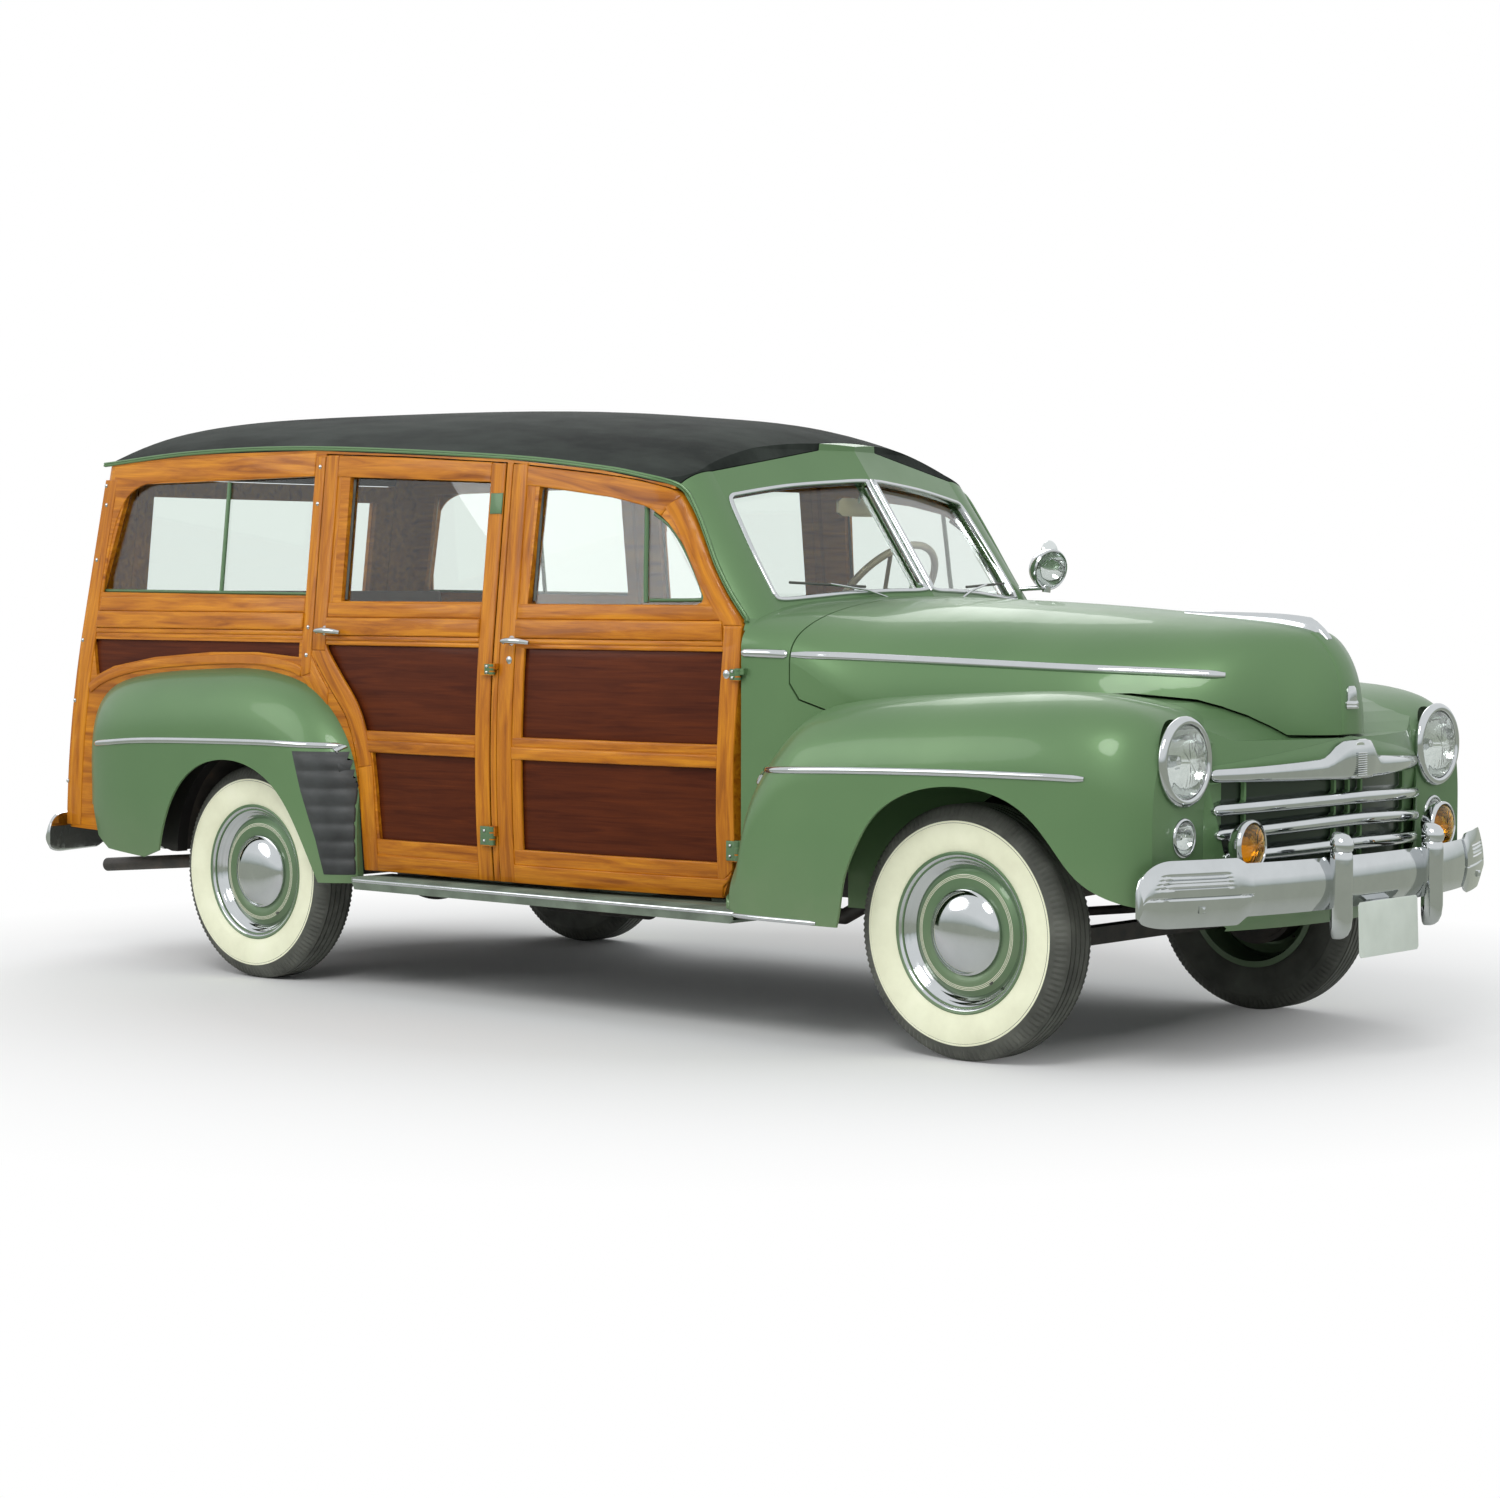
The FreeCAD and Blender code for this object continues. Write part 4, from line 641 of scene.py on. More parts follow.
def smoothed(normals):
    """Directions along a path, each evened out with its neighbours three times over."""
    for _ in range(3):
        before, after = normals[:1] + normals[:-1], normals[1:] + normals[-1:]
        normals = [(a + b * 2 + c).normalized() for a, b, c in zip(before, normals, after)]
    return normals


def tube(path, radius, sides=10):
    """A round bar along a path of points; the radius may change along it."""
    path = [Vector(p) for p in path]
    upright = abs((path[-1] - path[0]).normalized().z) > 0.9
    up = Vector((1, 0, 0)) if upright else Vector((0, 0, 1))
    profile = (lambda t: round_bar(radius(t), sides)) if callable(radius) else round_bar(radius, sides)
    return sweep(path, profile, [up] * len(path))


def grid(rows, closed=False):
    """A sheet of quads over rows of points; closed joins the ends of each row."""
    bm = bmesh.new()
    verts = [[bm.verts.new(p) for p in row] for row in rows]
    for a, b in zip(verts, verts[1:]):
        m = len(a)
        for k in range(m if closed else m - 1):
            bm.faces.new((a[k], a[(k + 1) % m], b[(k + 1) % m], b[k]))
    return bm


def closed_grid(rows):
    """A skin over closed rows of points, with both ends shut."""
    bm = grid(rows, closed=True)
    bm.verts.ensure_lookup_table()
    m = len(rows[0])
    bm.faces.new(bm.verts[:m])
    bm.faces.new(bm.verts[-m:][::-1])
    return bm


def thick(profile, depth):
    """Closes a turned sheet's profile with a second line behind it."""
    return profile + [(u - depth, r) for u, r in profile[::-1]]


def scaled(profile, k):
    return [(u * k, r * k) for u, r in profile]


def dome(base, bulge, radius, steps, depth):
    """A bulging lens, as a profile of its outer line and one that lies behind it."""
    angles = [math.pi / 2 * s / steps for s in range(steps + 1)]
    outer = [(base + bulge * math.cos(a), radius * math.sin(a)) for a in angles]
    return outer + [(u - depth, r) for u, r in outer[::-1]]


def smoothstep(t):
    t = min(max(t, 0), 1)
    return t * t * (3 - 2 * t)


def offset_line(path, distance):
    """A path moved sideways, to the left of its direction where distance is positive."""
    out = []
    for i, (x, z) in enumerate(path):
        x0, z0 = path[max(i - 1, 0)]
        x1, z1 = path[min(i + 1, len(path) - 1)]
        length = math.hypot(x1 - x0, z1 - z0)
        out.append((x - (z1 - z0) / length * distance, z + (x1 - x0) / length * distance))
    return out


def side_place(side, x, z, out=0.0):
    return P(x, side * (half_width(x, z) + out), z)


def bolt(name, body, place, out, radius=7):
    profile = [(-2, radius), (1.5, radius), (3, radius * 0.8), (4, radius * 0.4), (4.2, 0.1)]
    put(name, lathe(profile, place, out, 20), body=body)


# Wooden frame of doors, quarters and tail, laid over the frame's own solids

FRONT_DOOR_EDGE = curve2([(589, 560), (589, 800), (598, 980), (600, 1080), (597, 1180)]) + \
    curve2([(597, 1180), (530, 1265), (475, 1345), (432, 1418), (396, 1478), (366, 1522), (337, 1560)])
FRONT_DOOR_TOP = curve2([(337, 1560), (299, 1582), (199, 1606), (33, 1630), (-318, 1668)])
WINDOW_TOP = curve2([(282, 1502), (250, 1520), (218, 1532), (88, 1560), (-203, 1597)], 4)
REAR_DOOR_EDGE = curve2([(-1180, 1086), (-1150, 1040), (-1083, 964), (-1010, 884), (-974, 814), (-946, 715),
                         (-938, 560), (-935, 386)])
FENDER_ARCH = curve2([(-2318, 925), (-2245, 960), (-2130, 990), (-1978, 1012), (-1687, 1031), (-1457, 1035),
                      (-1300, 1018), (-1232, 1000)])


def rail_tiers(part, name, x0, x1, tiers):
    """A horizontal rail made of steps; each tier is (z low, z high, proud)."""
    for k, (z0, z1, proud) in enumerate(tiers):
        (a, b), (c, d) = [(x(z0), x(z1)) if callable(x) else (x, x) for x in (x0, x1)]
        part(f"{name}_{k}", [(a, z0), (c, z0), (d, z1), (b, z1)], -14, proud, bevel=min(5, (z1 - z0) * 0.3))


BELT_TIERS = [(1104, 1119, 2.0), (1119, 1136, 4.5), (1136, 1193, 10.0), (1193, 1240, 4.0)]
MID_TIERS = [(765, 804, 5.0), (804, 834, 1.5)]
FOOT_TIERS = [(440, 490, 1.0)]
PANEL = {"t0": -18, "t1": -13, "mat": "panel"}


def parts_of(prefix, body, side):
    """A maker of members whose names, body and side are settled."""
    return lambda name, *shape, **more: member(prefix + name, body, side, *shape, **more)


def front_door(side, tag):
    part = parts_of(f"front_door_{tag}_", "front_door_" + tag, side)
    corner = FRONT_DOOR_EDGE.index((597, 1180))
    part("rear_stile", rect(-318, -256, 386, 1668), angle=90)
    part("inner_bead", rect(-256, -217, 440, 1600), -10, 0.5, 90)
    stile = [(526, 440), (548, 440), (577, 470), (589, 560)] + FRONT_DOOR_EDGE[1:corner + 1]
    part("front_stile", stile + [(535, 1180), (538, 1110), (531, 834), (526, 600)], angle=90)
    pillar = FRONT_DOOR_EDGE[corner + 1:]
    inner = offset_line(pillar, 52)
    inner[0] = (536, 1181)
    part("pillar_curve", pillar + inner[::-1], follow=pillar)
    part("header", FRONT_DOOR_TOP[:-1] + [(-256, 1662), (-256, 1602)] + WINDOW_TOP[::-1], angle=172)
    rail_tiers(part, "belt", -256, lambda z: 536 if z < 1185 else 536 - 0.8 * (z - 1185), BELT_TIERS)
    rail_tiers(part, "mid", -256, 531, MID_TIERS)
    rail_tiers(part, "foot", -256, 527, FOOT_TIERS)
    part("sill", [(-256, 386), (540, 386), (545, 420), (567, 440), (577, 462), (549, 442), (-256, 442)], t1=6)
    part("panel_low", rect(-270, 536, 480, 775), **PANEL)
    part("panel_high", rect(-270, 545, 825, 1120), **PANEL)


def rear_door(side, tag):
    part = parts_of(f"rear_door_{tag}_", "rear_door_" + tag, side)
    part("front_stile", rect(-413, -351, 386, 1671), angle=90)
    edge = REAR_DOOR_EDGE
    inner = offset_line(edge, 66)
    inner[0] = (-1118, 1086)
    start = edge.index((-946, 715))
    part("curve", edge[:start + 1] + inner[:start + 1][::-1], follow=edge)
    part("rear_foot", edge[start:] + inner[start:][::-1], follow=edge)
    part("rear_stile", rect(-1180, -1118, 1087, 1716), angle=90)
    part("inner_bead", rect(-1118, -1098, 1110, 1652), -10, 0.5, 90)
    part("header", [(-1118, 1646), (-413, 1615), (-413, 1676), (-800, 1699), (-1118, 1713)], angle=177)
    rail_tiers(part, "belt", -1118, -413, BELT_TIERS)
    rail_tiers(part, "mid", lambda z: -896 + (z - 765) * -0.24, -413, MID_TIERS)
    rail_tiers(part, "foot", -872, -413, [(386, 440, 5.0)] + FOOT_TIERS)
    part("panel_low", rect(-890, -400, 480, 775), **PANEL)
    part("panel_high", [(-400, 1120), (-1130, 1120), (-1130, 1050), (-1075, 1005), (-980, 930), (-925, 825),
                        (-400, 825)], **PANEL)


def rear_line(z):
    """Rear edge of the body's side at height z."""
    return -2500 + 0.125 * (z - 372)


def body_side(side, tag):
    part = parts_of(f"side_{tag}_", "chassis", side)
    part("centre_strip", rect(-347, -322, 386, 1668), t1=2, angle=90)
    part("pillar", [(-1230, 1000), (-1184, 1012), (-1184, 1712), (-1230, 1716)], t1=3, angle=90)
    part("pillar_foot", [(-1230, 1003), (-1196, 972), (-1150, 930), (-1096, 900), (-1094, 958), (-1154, 1030),
                         (-1184, 1072), (-1184, 1003)], t1=3, angle=-50)
    post_outer = [(rear_line(z) + 22, z) for z in range(460, 1700, 60)]
    post_inner = [(x + (78 if z < 1240 else 66), z) for x, z in post_outer]
    part("rear_post", post_inner + post_outer[::-1], t1=3, angle=83)
    belt = [(z0 + 14, z1 + 14, proud) for z0, z1, proud in BELT_TIERS[:3]] + [(1207, 1256, 4.0)]
    rail_tiers(part, "belt", lambda z: rear_line(z) + 100, -1230, belt)
    part("fender_rail", FENDER_ARCH + offset_line(FENDER_ARCH, 32)[::-1], t1=5, follow=FENDER_ARCH)
    head_low = curve2([(-2284, 1272), (-2270, 1400), (-2240, 1520), (-2190, 1600), (-2110, 1638), (-2000, 1648)], 4)
    corner = [(rear_line(1272) + 88, 1272), (rear_line(1600) + 88, 1600), (rear_line(1690) + 60, 1705)]
    part("header", [(-2000, 1722), (-1232, 1728), (-1232, 1650)] + head_low[::-1] + corner, t1=2.5, angle=178)
    part("panel", [(-2245, 960), (-1978, 1020), (-1500, 1045), (-1225, 1010), (-1225, 1130), (-2345, 1130),
                   (-2360, 930)], **PANEL)


for side, tag in ((1, "left"), (-1, "right")):
    front_door(side, tag)
    rear_door(side, tag)
    body_side(side, tag)


# Wheels and tyres, turned about their axles

SHOULDER = [(58, 212), (61, 217), (66, 223), (72, 232), (77, 246), (80.5, 262), (82.2, 280), (81.6, 295), (80.8, 301),
            (80.0, 302), (80.4, 303.2), (79.8, 307.5), (77.5, 311), (75, 317), (71, 326), (66.5, 334), (62, 341),
            (57, 346.5), (50, 350.5)]
GROOVES = [(44, 352), (43, 345), (39, 345), (38, 352), (24, 352), (23, 345), (19, 345), (18, 352), (2.5, 352),
           (1.6, 345)]
HALF_TYRE = SHOULDER + GROOVES
TYRE_PROFILE = HALF_TYRE + [(-v, r) for v, r in HALF_TYRE[::-1]]
RIM = [(-68, 203), (-68, 221), (-63, 221), (-61, 209.6), (60.5, 209.6), (61.5, 218), (64, 223), (67.5, 222.5),
       (69, 219), (67, 214), (61, 209), (60, 203)]
TRIM_RING = thick([(66.5, 214), (65, 210), (60, 206.5), (56.5, 205), (54, 201), (51, 196), (49.5, 195), (46, 190),
                   (43, 186), (41.5, 185), (37, 180), (33, 176), (29, 174.5)], 1.5)
DISC = thick([(26, 183), (31, 175), (36, 168), (40, 162), (41.5, 159), (41.6, 157.4), (42, 155), (42, 153.4),
              (42.3, 151), (42.3, 149.4), (42.5, 140), (41, 130), (37, 120), (35, 114)], 3)
STRIPES = (4, 6, 8)
HUB_CAP = [(34, 118.5), (42, 119), (45.5, 117.5), (47, 114), (50.5, 110.5), (56, 104), (62, 93), (67, 78), (71, 58),
           (73.5, 36), (74.7, 16), (75, 0)]
DRUM = [(-46, 36), (-46, 150), (26, 150), (31, 146), (33, 100), (30, 36)]


def lugs(v, r, k):
    """Cross cuts in both shoulders of the tread."""
    if 44.5 < abs(v) < 76 and r > 312 and k % 2:
        inward = 3.2 * min(1, (abs(v) - 44) / 8, (77 - abs(v)) / 5)
        return v - math.copysign(inward * 0.6, v), r - inward
    return v, r


def wheel(tag, x, y):
    body = "wheel_" + tag
    side = 1 if y > 0 else -1
    centre, axis = P(x, y, TYRE_R), (0, side, 0)
    strips = zip(TYRE_PROFILE, TYRE_PROFILE[1:] + TYRE_PROFILE[:1])
    pale = [1 if v0 > 0 and v1 > 0 and r0 < 308 and r1 < 308 and not 300.5 < (r0 + r1) / 2 < 302 else 0
            for (v0, r0), (v1, r1) in strips]
    tyre = lathe(TYRE_PROFILE, centre, axis, 256, pale, True, lugs)
    put("tread_" + tag, tyre, "rubber", body, second="whitewall", angle=28, replaces=("tyre_" + tag,))
    rim = lathe(RIM, centre, axis, 96, closed=True)
    put("rim_" + tag, rim, "wheel_paint", body, replaces=("wheel_" + tag,))
    ring = lathe(TRIM_RING, centre, axis, 96, closed=True)
    put("trim_ring_" + tag, ring, body=body, angle=50)
    marks = [1 if i in STRIPES else 0 for i in range(len(DISC))]
    disc = lathe(DISC, centre, axis, 96, marks, True)
    put("disc_" + tag, disc, "wheel_paint", body, second="pinstripe")
    put("hub_cap_" + tag, lathe(HUB_CAP, centre, axis, 96), body=body)
    put("drum_" + tag, lathe(DRUM, centre, axis, 64, closed=True), "black", body)
    valve = tube([P(x + 88, y + side * 34, TYRE_R - 128), P(x + 92, y + side * 52, TYRE_R - 133)], 3.5)
    put("valve_" + tag, valve, "rubber", body)


for end, x, half_track in (("front", HALF_BASE, 736.5), ("rear", -HALF_BASE, 762)):
    wheel(end + "_left", x, half_track)
    wheel(end + "_right", x, -half_track)


# Lamps

def lamp(name, x, y, z, radius, bulge, node=()):
    """Bezel, reflector and fluted lens of a front lamp, facing forward."""
    centre, axis, k = P(x, y, z), (1, 0, 0), radius / 122
    bezel = [(-8, 114), (-4, 123.5), (0, 125), (5, 125), (10, 122.5), (14, 118), (16.5, 112), (16, 106), (13, 102.5),
             (10, 101), (7, 100), (3, 104)]
    put(name + "_bezel", lathe(scaled(bezel, k), centre, axis, 96, closed=True), angle=50, replaces=node)
    bowl = thick([(8, 101), (-8, 97), (-30, 84), (-52, 62), (-68, 34), (-73, 0.1)], 2)
    put(name + "_reflector", lathe(scaled(bowl, k), centre, axis, 64, closed=True), "mirror")
    lens = dome(8 * k, bulge, 101 * k, 12, 4.5 * k)
    inner = {u for u, r in lens[13:]}
    columns = 24 if radius > 80 else 12

    def flutes(u, r, i):
        if r < 1 or u not in inner:
            return u, r
        across = r * math.cos(2 * math.pi * i / 96)
        return u + 1.6 * k * abs(math.sin(math.pi * across / (202 * k) * columns)), r

    put(name + "_lens", lathe(lens, centre, axis, 96, relief=flutes), "lens", angle=60)
    bulb = scaled([(-60, 0), (-58, 16), (-30, 18), (-18, 13), (-12, 0)], k)
    put(name + "_bulb", lathe(bulb, centre, axis, 24))


for side, tag in ((1, "left"), (-1, "right")):
    lamp("headlamp_" + tag, 2076, side * 667, 836, 118, 15, ("headlamps",) if side > 0 else ())
    lamp("parking_lamp_" + tag, 2072, side * 660, 635, 52, 11, ("parking_lamps",) if side > 0 else ())


# Grille, bumpers and the rest of the front

NOSE_SWEEP = 119 / 550 ** 2


def nose_x(y, z):
    """Station of the nose panel's surface."""
    rows = [(350, 2120), (430, 2178), (520, 2196), (700, 2198), (830, 2188), (900, 2176), (1010, 2160)]
    for (z0, x0), (z1, x1) in zip(rows, rows[1:]):
        if z <= z1:
            break
    return x0 + (x1 - x0) * (z - z0) / (z1 - z0) - NOSE_SWEEP * y * y


TIP = 26                        # length of a bar's rounded end


def bar_sections(low, high, half, front, depth, steps=40):
    """Closed sections of a bowed bar; low, high and front give its edges and bulge at y."""
    rows = []
    for step in range(steps + 1):
        y = -half + 2 * half * (0.5 - 0.5 * math.cos(math.pi * step / steps))
        close = min(1, math.sqrt(max(0.02, 1 - max(0, (abs(y) - half + TIP) / TIP) ** 2)))
        z0, z1 = low(y), high(y)
        middle, h = (z0 + z1) / 2, (z1 - z0) / 2 * close
        x = front(y, middle)
        row = []
        for k in range(13):
            a = math.pi * (k / 12 - 0.5)
            row.append(P(x + depth * close * (math.cos(a) ** 0.8 - 1) + depth * (close - 1) * 0.2, y,
                         middle + h * math.sin(a)))
        row.append(P(x - depth - 26, y, middle + h * 0.7))
        row.append(P(x - depth - 26, y, middle - h * 0.7))
        rows.append(row)
    return rows


GRILLE_BARS = [("bar_1", 685, 718, 698, 735, 545), ("bar_2", 619, 652, 639, 676, 535),
               ("bar_3", 559, 592, 573, 610, 510), ("bar_4", 498, 526, 489, 521, 396)]
for index, (name, end_low, end_high, mid_low, mid_high, half) in enumerate(GRILLE_BARS):
    low = lambda y: mid_low + (end_low - mid_low) * (abs(y) / half) ** 1.6
    high = lambda y: mid_high + (end_high - mid_high) * (abs(y) / half) ** 1.6
    bar = closed_grid(bar_sections(low, high, half, lambda y, z: nose_x(y, 650) + 15, 20))
    put("grille_" + name, bar, replaces=("grille",) if index == 0 else ())
    shelf_rows = []
    for step in range(25):
        y = (half - 14) * (step / 12 - 1)
        x, z = nose_x(y, 650), high(y)
        shelf_rows.append([P(x - 2, y, z - 10), P(x - 2, y, z - 5), P(x - 48, y, z + 12), P(x - 48, y, z + 6)])
    put("grille_shelf_" + name, closed_grid(shelf_rows))


def wing_high(y):
    y = abs(y)
    wing = 812 + (838 - 812) * max(0, 1 - y / 545) ** 1.3
    return wing + (877 - wing) * smoothstep((150 - y) / 95)


def wing_low(y):
    return 767 + 8 * (abs(y) / 545)


wing = closed_grid(bar_sections(wing_low, wing_high, 545, lambda y, z: nose_x(y, 800) + 13 +
                                14 * smoothstep((150 - abs(y)) / 95), 17, steps=72))
put("grille_wing", wing)
filler = []
for step in range(49):
    y = 548 * (step / 24 - 1)
    cut = 808 + 69 * (1 - abs(y) / 545) + 10
    z0 = wing_high(y) - 12
    filler.append([P(nose_x(y, z) + 1.5 + 3 * math.sin(math.pi * min(1, t)), y, z)
                   for t, z in ((0, z0), (0.25, z0 + (cut - z0) * 0.25), (0.5, z0 + (cut - z0) * 0.5),
                                (0.75, z0 + (cut - z0) * 0.75), (1, cut))] +
                  [P(nose_x(y, cut) - 6, y, cut), P(nose_x(y, z0) - 6, y, z0)])
put("nose_shoulder", closed_grid(filler), "paint")
for index in range(11):
    z = 778 + index * 6.2
    x = nose_x(0, 800) + 28
    rib = tube([P(x, -24, z), P(x + 1, 0, z), P(x, 24, z)], 2.4, 8)
    put(f"wing_rib_{index}", rib)
shield = closed_grid([[P(nose_x(0, 860) + 21 + 9 * s, w * y * s2, 862 + h * s2) for y, h in
                       ((-1, -8), (-0.8, 6), (-0.3, 9), (0.3, 9), (0.8, 6), (1, -8), (0.4, -12), (-0.4, -12))]
                      for s, s2, w in ((0, 1, 30), (0.6, 1, 30), (1, 0.8, 30))])
put("wing_crest", shield, "mirror")
# Painted shade: a near-black sheet behind the bars stands for the shade deep in the grille.
recess = closed_grid([[P(nose_x(y, 650) - 34 - d, y, z) for z, d in ((500, 0), (800, 0), (800, 3), (500, 3))]
                      for y in range(-540, 541, 60)])
put("grille_recess", recess, "recess")
for index, y in enumerate((-420, -70, 0, 70, 420)):
    x = nose_x(y, 650) - 26
    post = closed_grid([[P(x + a, y + b, z) for a, b in ((-5, -5), (6, -5), (9, 0), (6, 5), (-5, 5))]
                        for z in (500, 560, 640, 720, 784)])
    put(f"grille_post_{index}", post, "paint")

FRONT_SWEEP, REAR_SWEEP = 198, 178
FRONT_FACE, REAR_FACE = 2298.3, -2638.2


def bow(y):
    return (min(abs(y), 905) / 900) ** 2.2


def bumper(tag, face, sweep_depth, bar, cap, grooves, node):
    """Chrome bumper: a rounded bar with a taller ribbed cap over each end, and the irons that carry it."""
    sign = 1 if face > 0 else -1

    def skin(y, z, z0, z1, proud, groove_rows=()):
        t = (z - z0) / (z1 - z0) * 2 - 1
        out = face - sign * sweep_depth * bow(y) + sign * (proud - 3 + 15 * (1 - abs(t) ** 2))
        for row, y0, y1 in groove_rows:
            ends = smoothstep((abs(y) - y0) / 14) * smoothstep((y1 - abs(y)) / 14)
            out -= sign * 4.5 * (max(0, 1 - abs(z - row) / 3.2) * ends)
        return out

    rows = []
    z0, z1 = bar
    for step in range(61):
        y = 598 * (step / 30 - 1)
        front = [P(skin(y, z0 + (z1 - z0) * k / 20, z0, z1, -6), y, z0 + (z1 - z0) * k / 20) for k in range(21)]
        back = [P(face - sign * (sweep_depth * bow(y) + 12), y, z) for z in (z1 - 4, z0 + 4)]
        rows.append(front + back)
    put(tag + "_bar", closed_grid(rows), replaces=(node,))
    z0, z1 = cap
    for side, name in ((1, "left"), (-1, "right")):
        rows = []
        ys = [572 + (902 - 572) * k / 46 for k in range(47)]
        for y in ys:
            rise = smoothstep((y - 572) / 46)
            fall = 1 - math.sqrt(max(0, 1 - max(0, (y - 812) / 90) ** 2))
            top = bar[1] - 2 + (z1 - bar[1] + 2) * rise - (z1 - z0) * 0.42 * fall
            bottom = bar[0] + 2 - (bar[0] + 2 - z0) * rise + 26 * fall
            zs = [bottom + (top - bottom) * k / 56 for k in range(57)]
            front = [P(skin(y, z, bottom, top, -1.5, grooves), side * y, z) for z in zs]
            back = [P(face - sign * (sweep_depth * bow(y) + 14), side * y, z) for z in (top - 5, bottom + 5)]
            rows.append(front + back)
        put(f"{tag}_cap_{name}", closed_grid(rows), angle=40)
        bolt_y, bolt_z = side * 735, z0 + 46
        x = skin(735, bolt_z, z0, z1, -1.5)
        square = rect(-1, 1, -1, 1)
        head = closed_grid([[P(x + sign * u, bolt_y + a * s, bolt_z + b * s) for a, b in square]
                            for u, s in ((-3, 9), (4, 9), (7, 7), (8.5, 3))])
        put(f"{tag}_bolt_{name}", head)
        end = 1990 if sign > 0 else -2400
        start = face - sign * (sweep_depth * bow(419) + 12)
        za, zb = (456, 500) if sign > 0 else (446, 468)
        iron = closed_grid([[P(x, side * y, z) for y, z in ((404, za), (434, za), (434, zb), (404, zb))]
                            for x in (start, (start + end) / 2, end)])
        put(f"{tag}_iron_{name}", iron, "black")


def guard(name, face, depth, z0, z1, y, half):
    """An upright bumper guard with a bullet-shaped top."""
    sign = 1 if face > 0 else -1
    rows = []
    levels = [(0, 0.30), (0.012, 0.52), (0.04, 0.74), (0.10, 0.92), (0.20, 1.0), (0.5, 1.0), (0.74, 1.0),
              (0.80, 0.96), (0.815, 0.90), (0.83, 1.0), (0.88, 1.06), (0.93, 0.96), (0.97, 0.74), (0.99, 0.46),
              (1.0, 0.15)]
    for t, s in levels:
        z = z0 + (z1 - z0) * t
        row = []
        for k in range(17):
            a = math.pi * (k / 16 - 0.5)
            proud = depth * s * math.cos(a) ** 0.85 - 2 * (1 - s)
            row.append(P(face + sign * proud, y + half * s * math.sin(a), z))
        row.append(P(face - sign * 5, y + half * s * 0.9, z))
        row.append(P(face - sign * 5, y - half * s * 0.9, z))
        rows.append(row)
    put(name, closed_grid(rows), angle=50)


FRONT_GROOVES = [(548, 640, 850), (537.5, 640, 856), (527, 640, 862), (516.5, 640, 866), (490, 560, 900)]
GUARD_Y = 245
REAR_GROOVES = [(474, 640, 850), (465, 640, 856), (456, 640, 862), (447, 640, 866), (424, 560, 900)]
bumper("front_bumper", FRONT_FACE, FRONT_SWEEP, (432, 572), (412, 588), FRONT_GROOVES, "front_bumper")
bumper("rear_bumper", REAR_FACE, REAR_SWEEP, (378, 490), (364, 504), REAR_GROOVES, "rear_bumper")
for side, tag in ((1, "left"), (-1, "right")):
    guard("front_guard_" + tag, FRONT_FACE - FRONT_SWEEP * bow(GUARD_Y), 46, 352, 640, side * GUARD_Y, 30)
    guard("rear_guard_" + tag, REAR_FACE + REAR_SWEEP * bow(GUARD_Y), 44, 330, 566, side * GUARD_Y, 28)
    y = side * 510
    fog = P(2175, y, 612)
    shell = [(-44, 0.1), (-43, 20), (-36, 42), (-20, 58), (-4, 66), (2, 69), (10, 70), (16, 68), (19, 63), (16, 60),
             (8, 59), (0, 58), (-18, 50), (-34, 30), (-38, 0.1)]
    put("fog_lamp_" + tag, lathe(shell, fog, (1, 0, 0), 64), angle=50)
    amber = lathe(dome(12, 15, 59, 10, 5), fog, (1, 0, 0), 96,
                  relief=lambda u, r, k: (u + 0.9 * math.sin(r * math.cos(2 * math.pi * k / 96) * 0.9), r))
    put("fog_lens_" + tag, amber, "amber", angle=60)
    stalk = tube([P(2171, y, 549), P(2170, y, 530), P(2182, y, 514), P(2220, y, 505)], 8, 12)
    put("fog_stalk_" + tag, stalk, "black")

PLATE_Y, PLATE_X = -35, 2326
plate = outline_mesh([(-150, -75), (-158, -67), (-158, 67), (-150, 75), (150, 75), (158, 67), (158, -67),
                      (150, -75)], 3, 1)
for v in plate.verts:
    a, b, c = v.co
    v.co = P(PLATE_X - 0.04 * b + c, PLATE_Y + a, 373 + b)
put("front_plate", plate, "plate")
holder = closed_grid([[P(x, PLATE_Y + a, z) for a, z in ((-60, 436), (60, 436), (60, 446), (-60, 446))]
                      for x in (2296, 2308, 2322)])
put("plate_holder", holder)


# Bright trim laid on the body's skin

HOOD = Surface("hood")
MOULDINGS = [
    ("cowl_moulding", "chassis", 26, 9, [(612, 1102), (690, 1101), (764, 1099)]),
    ("hood_moulding", "hood", 26, 9, [(776, 1099), (1100, 1089), (1500, 1074), (1800, 1063), (1972, 1055)]),
    ("fender_moulding", "chassis", 21, 8,
     [(700, 773), (806, 777), (1151, 789), (1500, 796), (1790, 797), (1925, 795)]),
    ("fender_foot", "chassis", 14, 5, [(704, 360), (870, 360), (1040, 360)]),
    ("rear_moulding", "chassis", 21, 8,
     [(-2225, 752), (-2127, 760), (-1859, 777), (-1347, 787), (-1103, 785), (-962, 782)])]


def moulding(name, body, surface, side, points, width, height):
    """A convex strip laid over a side view's (x, z) points, thinned at both ends."""
    hits = [surface.beside(side, p.x, p.z) for p in smooth_path([(x, 0, z) for x, z in points], 8)]

    def section(t):
        size = 0.6 + 0.4 * min(1, t * 24, (1 - t) * 24)
        return [(a * size, b * size if b > 0 else b) for a, b in half_round(width, height)]

    put(name, surface.trim(hits, section), body=body)


def screen_face(y, z):
    """Station of the windscreen frame's outer surface."""
    flat = BELT_HALF - SIDE_SLOPE * (z - BELT_Z) - drawn(screen_x(z) - 280) - CORNER
    x = screen_x(z) - 130 * min(abs(y), flat) / flat
    beyond = min(max(abs(y) - flat, 0), CORNER - 1)
    return x - CORNER + math.sqrt(CORNER ** 2 - beyond ** 2)


